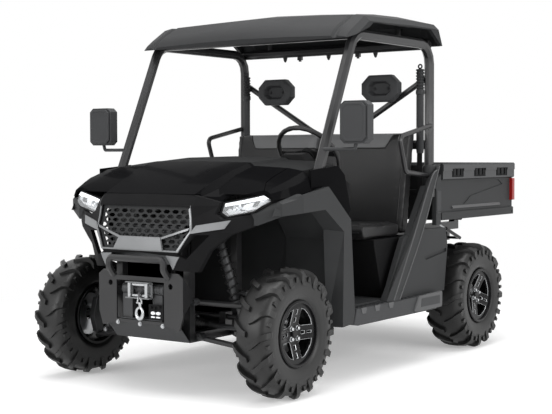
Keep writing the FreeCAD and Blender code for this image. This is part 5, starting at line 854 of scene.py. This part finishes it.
def build_seats():
    """The two cushions and the two backrests with their grey upper panels and seams."""
    for side, way in SIDES:
        inner, outer = way * 0.018, way * 0.612
        pad = pad_of(f"backrest_{side}", BACK_FRONT + BACK_REAR, inner, outer, 0.009)
        pad.data.materials.append(MATERIALS["vinyl_black"])
        pad.data.materials.append(MATERIALS["vinyl_grey"])
        for polygon in pad.data.polygons:
            polygon.material_index = 1 if grey_insert(polygon.center) else 0
        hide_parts("seat_backs")
        seam = [(0, way * across, level) for across, level in PANEL_SEAM]
        seam_on(f"backrest_seam_{side}", pad, seam, 0.0035, -X)
        seam = [(0, way * 0.575, level) for level in (1.29, 1.1, 0.95, 0.8)]
        seam_on(f"backrest_edge_{side}", pad, seam, 0.003, -X)

        pad = pad_of(f"cushion_{side}", CUSHION_SIDE, inner, outer, 0.011)
        pad.data.materials.append(MATERIALS["vinyl_black"])
        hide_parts("seat_cushion")
        seam = [(ahead, way * across, 1) for ahead, across in CUSHION_SEAM]
        seam_on(f"cushion_seam_{side}", pad, seam, 0.003, -Z)
        seam_on(f"cushion_edge_{side}", pad, [(1, way * across, 0.752) for across in (0.04, 0.3, 0.58)], 0.0035, -X)


# A headrest's outline about its middle, then its place ahead, width and height at each step of its form
HEAD_OUTLINE = (
    (-0.3, -0.5), (0.3, -0.5), (0.5, -0.2), (0.5, 0.2), (0.3, 0.5), (-0.3, 0.5), (-0.5, 0.2), (-0.5, -0.2),
)
HEAD_STATIONS = (
    (-0.338, 0.86, 0.86), (-0.326, 0.98, 0.98), (-0.292, 1.0, 1.0), (-0.276, 0.97, 0.97), (-0.2705, 0.86, 0.86),
    (-0.2705, 0.64, 0.5504), (-0.2745, 0.59, 0.4956), (-0.303, 0.5, 0.39), (-0.3035, 0.3, 0.21),
)


def build_headrests():
    """Moulded headrests, eight-sided, with a deep recess in the face."""
    for side, way in SIDES:
        form = bmesh.new()
        plate(form, (0, way * 0.3745, 1.558), (0, way * 0.2485, 0), Z * 0.1595, X, HEAD_OUTLINE, HEAD_STATIONS)
        head = place_form(f"headrest_{side}_pad", form, "charcoal_light", bevel=0.006)
        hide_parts("headrests")
        form = bmesh.new()
        for across in (0.33, 0.42):
            hexagon(form, (-0.3035, way * across, 1.558), X, 0.008, 0.006)
        place_form(f"headrest_bolts_{side}", form, "charcoal", bevel=0.001)


def build_belts():
    """Belt guides with a corrugated sleeve, a stalk, the webbing and the buckles by the seats."""
    for side, way in SIDES:
        post = Vector((-0.321, way * 0.62, 0))
        form = bmesh.new()
        folds = ((0, 0.021), (0.003, 0.0243), (0.008, 0.0243), (0.011, 0.0195), (0.014, 0.0195))
        corners = [(1.662 - fold * 0.017 - drop, radius) for fold in range(7) for drop, radius in folds]
        lathed(form, post, ROUND_Z, corners)
        rows = []
        for turn in circle(28):
            out = Y * math.sin(turn) + Z * math.cos(turn)
            rows.append(ring_at(post + Z * 1.677 + out * 0.011, out, X, 0.0045, 10))
        loft(form, rows + [rows[0]])
        sleeve = place_form(f"belt_sleeve_{side}", form, "charcoal", sharp=40)
        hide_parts("seat_belts")
        form = bmesh.new()
        outline = []
        for angle in circle(12):
            ahead, across = math.cos(angle + math.pi / 12), math.sin(angle + math.pi / 12)
            outline.append((ahead * (1 if abs(ahead) > 0.5 else 0.9), across))
        plate(form, post, X, Y, Z, outline, (
            (1.547, 0.022, 0.022), (1.54, 0.0245, 0.026), (1.522, 0.0245, 0.026), (1.515, 0.016, 0.0235),
            (1.49, 0.011, 0.0245), (1.2, 0.011, 0.0245), (1.181, 0.01, 0.022),
        ))
        place_form(f"belt_stalk_{side}", form, "charcoal_light", bevel=0.001)
        form = bmesh.new()
        section = ((-0.001, -0.021), (0.001, -0.021), (0.001, 0.0126), (-0.001, 0.0126))
        loft(form, [
            [(ahead + thick, post.y + across, level) for thick, across in section]
            for ahead, level in ((-0.322, 1.345), (-0.325, 1.2), (-0.32, 1.0), (-0.31, 0.8))
        ], capped=True)
        place_form(f"belt_webbing_{side}", form, "webbing")
        form = bmesh.new()
        box(form, (-0.105, way * 0.033, 0.805), (-0.075, way * 0.057, 0.862))
        box(form, (-0.098, way * 0.041, 0.775), (-0.084, way * 0.049, 0.81))
        place_form(f"belt_buckle_{side}", form, "dark_plastic", bevel=0.003)


WHEEL_MIDDLE = Vector((0.44, 0.36, 1.18))
WHEEL_LEAN = math.radians(50)
WHEEL_AXIS = Vector((-math.sin(WHEEL_LEAN), 0, math.cos(WHEEL_LEAN)))
WHEEL_UP = Vector((math.cos(WHEEL_LEAN), 0, math.sin(WHEEL_LEAN)))
# A spoke and its silver trim: how far out each station lies, its half width and its lift
SPOKE_STATIONS = ((0.03, 0.03, -0.008), (0.08, 0.019, -0.004), (0.13, 0.014, 0.0), (0.17, 0.018, 0.0))
TRIM_STATIONS = ((0.05, 0.013, 0.0015), (0.09, 0.0085, 0.0035), (0.13, 0.006, 0.0055), (0.158, 0.008, 0.0055))


def build_steering_wheel():
    """The steering wheel: a padded ring with finger bumps, three spokes, a silver trim and the boss."""
    form = bmesh.new()
    rows = []
    for turn in circle(96):
        out = Y * math.sin(turn) + WHEEL_UP * math.cos(turn)
        thick = 0.0128 + 0.0007 * math.cos(turn * 24)
        rows.append(ring_at(WHEEL_MIDDLE + out * 0.178, out, WHEEL_AXIS * 1.1, thick, 14))
    closed_loop(form, rows)
    ring = place_form("wheel_ring", form, "vinyl_black", body="steering_wheel", sharp=60)
    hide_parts("steering_wheel")
    form = bmesh.new()
    trim = bmesh.new()
    section = ((-1, -1), (1, -1), (1, 0.4), (0.7, 1), (-0.7, 1), (-1, 0.4))
    for out in (Y, -Y, -WHEEL_UP):
        side = out.cross(WHEEL_AXIS)
        for target, stations in ((form, SPOKE_STATIONS), (trim, TRIM_STATIONS)):
            rows = []
            for reach, wide, lift in stations:
                middle = WHEEL_MIDDLE + out * reach + WHEEL_AXIS * lift
                rows.append([middle + side * (wide * x) + WHEEL_AXIS * (0.006 * z) for x, z in section])
            loft(target, rows, capped=True)
    boss = ((-0.02, 0.036), (-0.012, 0.042), (0.004, 0.04), (0.01, 0.034), (0.0115, 0.012))
    lathed(form, WHEEL_MIDDLE, (WHEEL_AXIS, Y, WHEEL_UP), boss, 40)
    place_form("wheel_spokes", form, "dark_plastic", body="steering_wheel", bevel=0.0015)
    place_form("wheel_trim", trim, "machined", "steering_wheel", bevel=0.001)


# Along a shock from its foot, as shares of its length, with the radius there
SHOCK_BODY = (
    ((0.88, 0.012), (0.93, 0.012), (0.985, 0.009)), ((0.36, 0.019), (0.37, 0.0215), (0.86, 0.0215), (0.87, 0.019)),
)
SHOCK_COLLARS = (
    ((0.315, 0.02), (0.32, 0.036), (0.345, 0.036), (0.35, 0.024)),
    ((0.87, 0.024), (0.875, 0.036), (0.9, 0.036), (0.905, 0.02)),
    ((0.8, 0.0255), (0.81, 0.0285), (0.825, 0.0285), (0.83, 0.0255), (0.84, 0.0255), (0.845, 0.0285), (0.86, 0.0285)),
)
SPRING_LOW, SPRING_HIGH, SPRING_TURNS = 0.352, 0.866, 9


def build_shocks():
    """Shocks with open coil springs, collars, a body and bolted eyes."""
    for side, way in SIDES:
        for end, axle, pin, top in (("front", FRONT_AXLE, 0.577, 0.86), ("rear", REAR_AXLE, 0.53, 0.67)):
            foot = Vector((axle + 0.0392, way * (0.2 + (pin - 0.2) * 0.72), 0.2397))
            head = Vector((axle + 0.0392, way * 0.2535, top))
            run = head - foot
            along = run.normalized()
            one, two = frame_of(along)
            axis = (run, one, two)
            eyes = (foot + along * 0.012, head - along * 0.012)

            form = bmesh.new()
            lathed(form, foot, axis, ((0.02, 0.0125), (0.3, 0.0125)), 20)
            for corners in SHOCK_BODY:
                lathed(form, foot, axis, corners)
            body = place_form(f"shock_body_{end}_{side}", form, "cast_dark", bevel=0.001)
            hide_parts("shocks")
            form = bmesh.new()
            for corners in SHOCK_COLLARS:
                lathed(form, foot, axis, corners)
            for place in eyes:
                round_bar(form, place - X * 0.019, place + X * 0.019, 0.0175)
            place_form(f"shock_collar_{end}_{side}", form, "cast_dark", bevel=0.0012)
            form = bmesh.new()
            rows = []
            for step in range(SPRING_TURNS * 20 + 1):
                turn = 2 * math.pi * step / 20
                out = one * math.cos(turn) + two * math.sin(turn)
                share = SPRING_LOW + (SPRING_HIGH - SPRING_LOW) * step / (SPRING_TURNS * 20)
                rows.append(ring_at(foot + run * share + out * 0.0295, out, along, 0.0046, 8))
            loft(form, rows, capped=True)
            place_form(f"shock_spring_{end}_{side}", form, "spring_black", sharp=60)
            form = bmesh.new()
            for place in eyes:
                for outward in (X, -X):
                    hexagon(form, place + outward * 0.019, outward, 0.0085, 0.009)
            place_form(f"shock_bolts_{end}_{side}", form, "steel", bevel=0.0006)


def build_shaft_boots():
    """Ribbed boots over the half shafts' joints and flanged covers on the final drives."""
    corners = [(0, 0.036), (0.012, 0.036)]
    for fold in range(5):
        corners += [(0.016 + fold * 0.014, 0.03 - fold * 0.0032), (0.022 + fold * 0.014, 0.034 - fold * 0.0032)]
    corners += [(0.088, 0.0155), (0.098, 0.0155)]
    for end, axle, reach in (("front", FRONT_AXLE, 0.5), ("rear", REAR_AXLE, 0.455)):
        for side, way in SIDES:
            form = bmesh.new()
            for start, ways in ((0.098, 1), (reach, -1)):
                lathed(form, (axle, way * start, HUB_HEIGHT), (Y * (way * ways), X, Z), corners)
            place_form(f"shaft_boot_{end}_{side}", form, "rubber", sharp=50)
        form = bmesh.new()
        for way in (-1, 1):
            for spot in ring_at((axle, way * 0.095, HUB_HEIGHT), X, Z, 0.047, 8):
                hexagon(form, spot, Y * way, 0.0045, 0.005)
        place_form(f"drive_bolts_{end}", form, "steel", bevel=0.0004)


def build_fasteners():
    """Bolt heads on the front plate and the arms' bushes, each seated on its surface."""
    form = bmesh.new()
    for across in (-0.146, 0.0, 0.146):
        hexagon(form, (FRONT_AXLE + 0.304, across, 0.344), X, 0.0085, 0.009)
    place_form("bumper_bolts", form, "steel", bevel=0.0006)
    form = bmesh.new()
    for _, way in SIDES:
        for axle in (FRONT_AXLE, REAR_AXLE):
            for leg in (-1, 1):
                for up, spread in ((0.282, 0.14), (HUB_HEIGHT + 0.14, 0.19)):
                    spot = Vector((axle + leg * spread, way * 0.252, up))
                    round_bar(form, spot - X * 0.021, spot + X * 0.021, 0.0185)
                    hexagon(form, spot + X * 0.021, X, 0.008, 0.008)
    place_form("arm_bushes", form, "cast_dark", bevel=0.001)


# The dash pod at each place ahead: its half width, its foot and its top
POD_STATIONS = (
    (0.6, 0.085, 1.09, 1.175), (0.555, 0.1, 1.085, 1.185), (0.535, 0.098, 1.088, 1.18), (0.53, 0.085, 1.098, 1.17),
)
MIRROR_OUTLINE = (
    (-0.35, -0.5), (0.35, -0.5), (0.5, -0.4), (0.5, 0.4), (0.35, 0.5), (-0.35, 0.5), (-0.5, 0.4), (-0.5, -0.4),
)
MIRROR_GLASS = ((-0.004, 0.86, 0.9), (0.001, 0.86, 0.9), (0.001, 0.5, 0.6))
MIRROR_RIM = ((0.002, 0.9, 0.92), (0.0075, 0.87, 0.9), (0.0075, 0.74, 0.81), (0.0052, 0.7, 0.78))


def build_cab_details():
    """The dash pod and its screen, the switches, the gear lever, a small lid and the pedals."""
    form = bmesh.new()
    outline = ((-0.8, 0), (0.8, 0), (1, 0.25), (1, 0.7), (0.7, 1), (-0.7, 1), (-1, 0.7), (-1, 0.25))
    loft(form, [
        [(ahead, 0.36 + wide * across, low + (high - low) * up) for across, up in outline]
        for ahead, wide, low, high in POD_STATIONS
    ], capped=True)
    place_form("dash_pod", form, "dark_plastic", bevel=0.004)
    form = bmesh.new()
    outline = ((-1, 0), (1, 0), (1, 0.8), (0.85, 1), (-0.85, 1), (-1, 0.8))
    plate(form, (0.53, 0.36, 1.107), Y, Z, -X, outline, ((0, 0.068, 0.052), (0.003, 0.068, 0.052)))
    place_form("dash_screen", form, "mirror_glass", bevel=0.0008)
    form = bmesh.new()
    for number in range(5):
        across = 0.16 - number * 0.045
        box(form, (0.468, across - 0.013, 1.025), (0.464, across + 0.013, 1.055))
        round_bar(form, (0.47, across, 0.97), (0.455, across, 0.97), 0.011)
    lever = Vector((0.38, -0.105, 1.06))
    round_bar(form, (0.47, -0.12, 1.0), lever, 0.006)
    corners = ((-0.1, 0.009), (0.1, 0.017), (0.5, 0.021), (0.85, 0.017), (1, 0.006))
    lathed(form, lever, (Vector((-0.05, 0.008, 0.035)), Y, Vector((0.6, 0, 0.8))), corners, 20)
    box(form, (0.452, -0.3, 0.94), (0.46, -0.56, 1.03))
    box(form, (0.449, -0.4, 1.012), (0.452, -0.46, 1.02))
    place_form("dash_controls", form, "charcoal", bevel=0.0012)
    form = bmesh.new()
    for across, wide in ((0.27, 0.032), (0.43, 0.024)):
        swept(form, [(0.66, across, 0.72), (0.64, across, 0.6), (0.6, across, 0.5)], 0.008)
        stations = ((0, wide, 0.045), (1, wide, 0.045))
        plate(form, (0.6, across, 0.5), Y, Z, (-0.012, 0, 0.006), SQUARE, stations)
    place_form("pedals", form, "cast_dark", bevel=0.003)


def build_mirror_glass():
    """Each mirror's raised rim and its glass, which faces the driver."""
    for side, way in SIDES:
        for name, ahead, out, stations, look, slot, bevel in (
            ("mirror_glass", 0.7185, -X, MIRROR_GLASS, "mirror_glass", "bright_steel", 0.0008),
            ("mirror_frame", 0.7735, X, MIRROR_RIM, "charcoal_light", "moulded_plastic", 0.002),
        ):
            form = bmesh.new()
            plate(form, (ahead, way * 0.849, 1.3355), Y * 0.162, Z * 0.211, out, MIRROR_OUTLINE, stations)
            place_form(f"{name}_{side}", form, look, bevel=bevel)


def build_shade_plates_and_horn():
    """Dark plates at the sides behind the grille, painted shade that closes the view through the nose, and the horn's
    box.
    """
    # Painted shade: two thin dark plates that stand in for the shade inside the nose.
    form = bmesh.new()
    wall = ((-0.02, 0.66), (0.125, 0.66), (0.125, 0.9), (-0.02, 0.9))
    for way in (-1, 1):
        plate(form, (1.2, way * 0.256, 0), (1, way * 0.12, 0), Z, Y * way, wall, ((0, 1, 1), (0.004, 1, 1)))
    place_form("grille_shade_plates", form, "dark_plastic", bevel=0.001)
    form = bmesh.new()
    outline = ((1.318, 0.868), (1.334, 0.868), (1.334, 0.934), (1.318, 0.934))
    plate(form, (0, 0, 0), X, Z, Y, outline, ((-0.072, 1, 1), (0.038, 1, 1)))
    plate(form, (1.334, -0.017, 0.901), Y * 0.055, Z * 0.033, X, SQUARE, ((0, 0.8, 0.8), (0.004, 0.72, 0.72)))
    place_form("horn_box", form, "charcoal_dark", bevel=0.003)


SILL_OUTLINE = (
    (-1, -0.72), (-0.95, -1), (0.8, -1), (1, -0.85), (0.7, 0.72), (0.62, 0.86), (-0.94, 1), (-1, 0.9),
)
COLLAR_CORNERS = (
    (0.978, 0.04), (1.095, 0.04), (1.108, 0.036), (1.114, 0.0275), (1.114, 0.0262), (0.978, 0.0262),
)
# The slanted bar's edges, as places ahead and up, where raised rims in a lighter grey paint its highlights.
SLANT_LINES = (
    ((-0.332, 1.084), (-0.262, 1.031), (-0.075, 0.733), (0.154, 0.386)),
    ((-0.366, 1.108), (-0.167, 0.742), (0.092, 0.384)),
)


def build_side_details():
    """The bare raised panels on the sills, step treads, lugs, raised rims along the slanted bar whose lighter grey
    paints its edge highlights, and the rear posts' covers.
    """
    for side, way in SIDES:
        out, place = Y * way, Vector((0, way * 0.725, 0.345))
        form = bmesh.new()
        stations = ((-0.006, 1, 1), (0.006, 0.99, 0.99), (0.0105, 0.95, 0.95))
        plate(form, place - X * 0.222, X * 0.166, Z * 0.047, out, SILL_OUTLINE, stations)
        place_form(f"sill_panel_{side}", form, "mesh_grey", bevel=0.002)
        form = bmesh.new()
        outline = ((-1, -1), (1, -1), (0.94, 1), (-1, 1))
        stations = ((0.0095, 1, 1), (0.012, 0.985, 0.985))
        plate(form, place - X * 0.24, X * 0.112, Z * 0.024, out, outline, stations)
        place_form(f"sill_plate_{side}", form, "charcoal_light", bevel=0.0008)
        form = bmesh.new()
        outline = ((-0.6, -1), (0.6, -1), (1, 1), (-1, 1))
        for middle in (0.19, 0.335, 0.47):
            stations = ((-0.004, 1, 1), (0.0155, 1, 1))
            plate(form, (middle, way * 0.713, 0.364), X * 0.03, Z * 0.016, out, outline, stations)
        place_form(f"sill_lugs_{side}", form, "mesh_grey", bevel=0.003)
        form = bmesh.new()
        outline = ((-0.447, 0.765), (-0.388, 0.765), (-0.388, 1.0), (-0.4, 1.03), (-0.447, 1.06))
        plate(form, (0, 0, 0), X, Z, out, outline, [(across, 1, 1) for across in (0.662, 0.688, 0.691)])
        place_form(f"post_cover_{side}", form, "charcoal", bevel=0.003)
        form = bmesh.new()
        for low, high, lift in ((0.846, 0.962, 0.6935), (0.832, 0.84, 0.6945)):
            box(form, (-0.444, way * 0.69, low), (-0.394, way * lift, high))
        place_form(f"post_door_{side}", form, "charcoal_light", bevel=0.0015)
        form = bmesh.new()
        lathed(form, (-0.355, way * 0.66, 0), ROUND_Z, COLLAR_CORNERS, 36, closed=True)
        place_form(f"post_collar_{side}", form, "charcoal", sharp=40)
        # Raised rims on the slanted bar's edges; their lighter grey is a painted highlight.
        form = bmesh.new()
        for line in SLANT_LINES:
            swept(form, [(x, way * 0.722, z) for x, z in line], 0.0042, 8)
        place_form(f"slant_rims_painted_highlight_{side}", form, "mesh_grey", sharp=60)
        form = bmesh.new()
        for number in range(14):
            ahead = 0.5 - number * 0.043
            box(form, (ahead, way * 0.672, 0.379), (ahead - 0.026, way * 0.706, 0.3832))
        place_form(f"sill_tread_{side}", form, "charcoal", bevel=0.0008)


def build_bed_details():
    """Ribs on the bed's floor, ledges whose lighter grey paints their highlight line, tie-down fittings, and the
    tailgate's ribs and handle.
    """
    form = bmesh.new()
    outline = ((-1.385, -1), (-0.5, -1), (-0.5, 1), (-1.385, 1))
    for number in range(9):
        place = (0, -0.56 + number * 0.14, 0)
        plate(form, place, X, Y, Z, outline, ((0.8095, 1, 0.022), (0.8155, 1, 0.016)))
    place_form("bed_floor_ribs", form, "charcoal", body="bed", bevel=0.001)
    form = bmesh.new()
    ledge = bmesh.new()
    # A real ledge; its lighter grey finish is a painted highlight line.
    outline = ((0.6795, 0.852), (0.688, 0.854), (0.688, 0.862), (0.6795, 0.872))
    for way in (-1, 1):
        plate(ledge, (0, 0, 0), Y * way, Z, X, outline, ((-0.6, 1, 1), (-1.25, 1, 1)))
        for start, end in ((0.117, 0.268), (0.413, 0.571), (0.727, 0.891)):
            near, far = -0.472 - 0.98 * start, -0.448 - 0.98 * end
            for spot in (near - 0.012, (near + far) / 2, far + 0.012):
                box(form, (spot - 0.009, way * 0.687, 1.043), (spot + 0.009, way * 0.697, 1.087))
            box(form, (near, way * 0.687, 1.041), (far, way * 0.6945, 1.051))
    place_form("bed_tie_downs", form, "dark_plastic", body="bed", bevel=0.002)
    place_form("bed_ledges_painted_highlight", ledge, "mesh_grey", body="bed", bevel=0.002)
    form = bmesh.new()
    for level in (0.885, 0.935, 0.985):
        stations = ((-0.001, 1, 1), (0.003, 0.99, 0.8))
        plate(form, (-1.4345, 0, level), Y * 0.5, Z * 0.009, -X, SQUARE, stations)
    place_form("tailgate_ribs", form, "charcoal", body="tailgate", bevel=0.001)
    form = bmesh.new()
    outline = ((-1, -1), (1, -1), (1, 0.6), (0.85, 1), (-0.85, 1), (-1, 0.6))
    stations = ((-0.002, 1, 1), (0.003, 0.98, 0.98))
    plate(form, (-1.4395, 0, 1.03), Y * 0.11, Z * 0.032, -X, outline, stations)
    place_form("tailgate_handle_plate", form, "charcoal_light", body="tailgate", bevel=0.001)
    form = bmesh.new()
    plate(form, (-1.4425, 0, 1.03), Y * 0.075, Z * 0.014, -X, SQUARE, ((0, 1, 1), (0.006, 0.92, 0.92)))
    place_form("tailgate_handle", form, "powder_black", "tailgate", bevel=0.002)


def build_tail_lamp_details():
    """Each tail lamp's three inner cells."""
    for side, way in SIDES:
        form = bmesh.new()
        for level in (0.9, 0.945, 0.99):
            place = (-1.4402, way * 0.69, level)
            plate(form, place, Y * 0.008, Z * 0.018, -X, SQUARE, ((0, 1, 1), (0.002, 0.8, 0.8)))
        place_form(f"tail_cells_{side}", form, "red_lens", "bed", bevel=0.0006)


def build_roof_details():
    """The tabs with their eyes and the clips under the cage's rear bar."""
    form = bmesh.new()
    tab = ((-1, 0.4), (-0.55, -0.9), (-0.3, -1.35), (0, -1.5), (0.3, -1.35), (0.55, -0.9), (1, 0.4))
    eye = ((-0.004, 0.0045), (-0.004, 0.0085), (0.004, 0.0085), (0.004, 0.0045))
    for across in (-0.346, -0.026, 0.303):
        plate(form, (-0.355, across, 1.776), Y * 0.019, Z * 0.021, X, tab, ((-0.003, 1, 1), (0.003, 1, 1)))
        lathed(form, (-0.355, across, 1.757), ROUND_X, eye, 20, closed=True)
    for across in (-0.235, 0.182):
        box(form, (-0.366, across - 0.014, 1.754), (-0.344, across + 0.014, 1.778))
        box(form, (-0.362, across - 0.006, 1.745), (-0.348, across + 0.006, 1.756))
    place_form("roof_bar_tabs", form, "powder_black", bevel=0.001)


def build_exhaust_details():
    """The muffler's bands and tail pipe."""
    low, high = (Vector(corner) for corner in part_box("muffler"))
    middle = (low + high) / 2
    form = bmesh.new()
    band = ((-0.012, 0.0755), (-0.012, 0.0775), (0.012, 0.0775), (0.012, 0.0755))
    for across in (-0.165, 0.0, 0.165):
        lathed(form, (middle.x, across, middle.z), ROUND_Y, band, 40, closed=True)
    place_form("muffler_bands", form, "steel", bevel=0.0008)
    form = bmesh.new()
    pipe = ((-0.03, 0.021), (0.026, 0.021), (0.03, 0.019), (0.026, 0.0175), (-0.02, 0.0175), (-0.02, 0.004))
    lathed(form, (low.x, -0.12, middle.z - 0.02), (-X, Y, Z), pipe)
    place_form("tail_pipe", form, "steel", bevel=0.0006)


build_camera()
build_floor()
build_studio()
build_materials()
dress_nodes()
for end, side, way in WHEELS:
    build_tyre(end, side, way)
    build_rim(end, side, way)
finish_faces("nose_trim", "charcoal_dark", lambda place: place.z > 0.921)
finish_faces("bed", "bed_band", lambda place: abs(place.y) > 0.695 and 1.025 < place.z < 1.117)
for build in (
    build_headlamps, build_winch, build_seats, build_headrests, build_belts, build_steering_wheel, build_shocks,
    build_shaft_boots, build_fasteners, build_cab_details, build_mirror_glass, build_shade_plates_and_horn, build_side_details,
    build_bed_details, build_tail_lamp_details, build_roof_details, build_exhaust_details,
):
    build()

bpy.context.scene.view_settings.view_transform = "Standard"
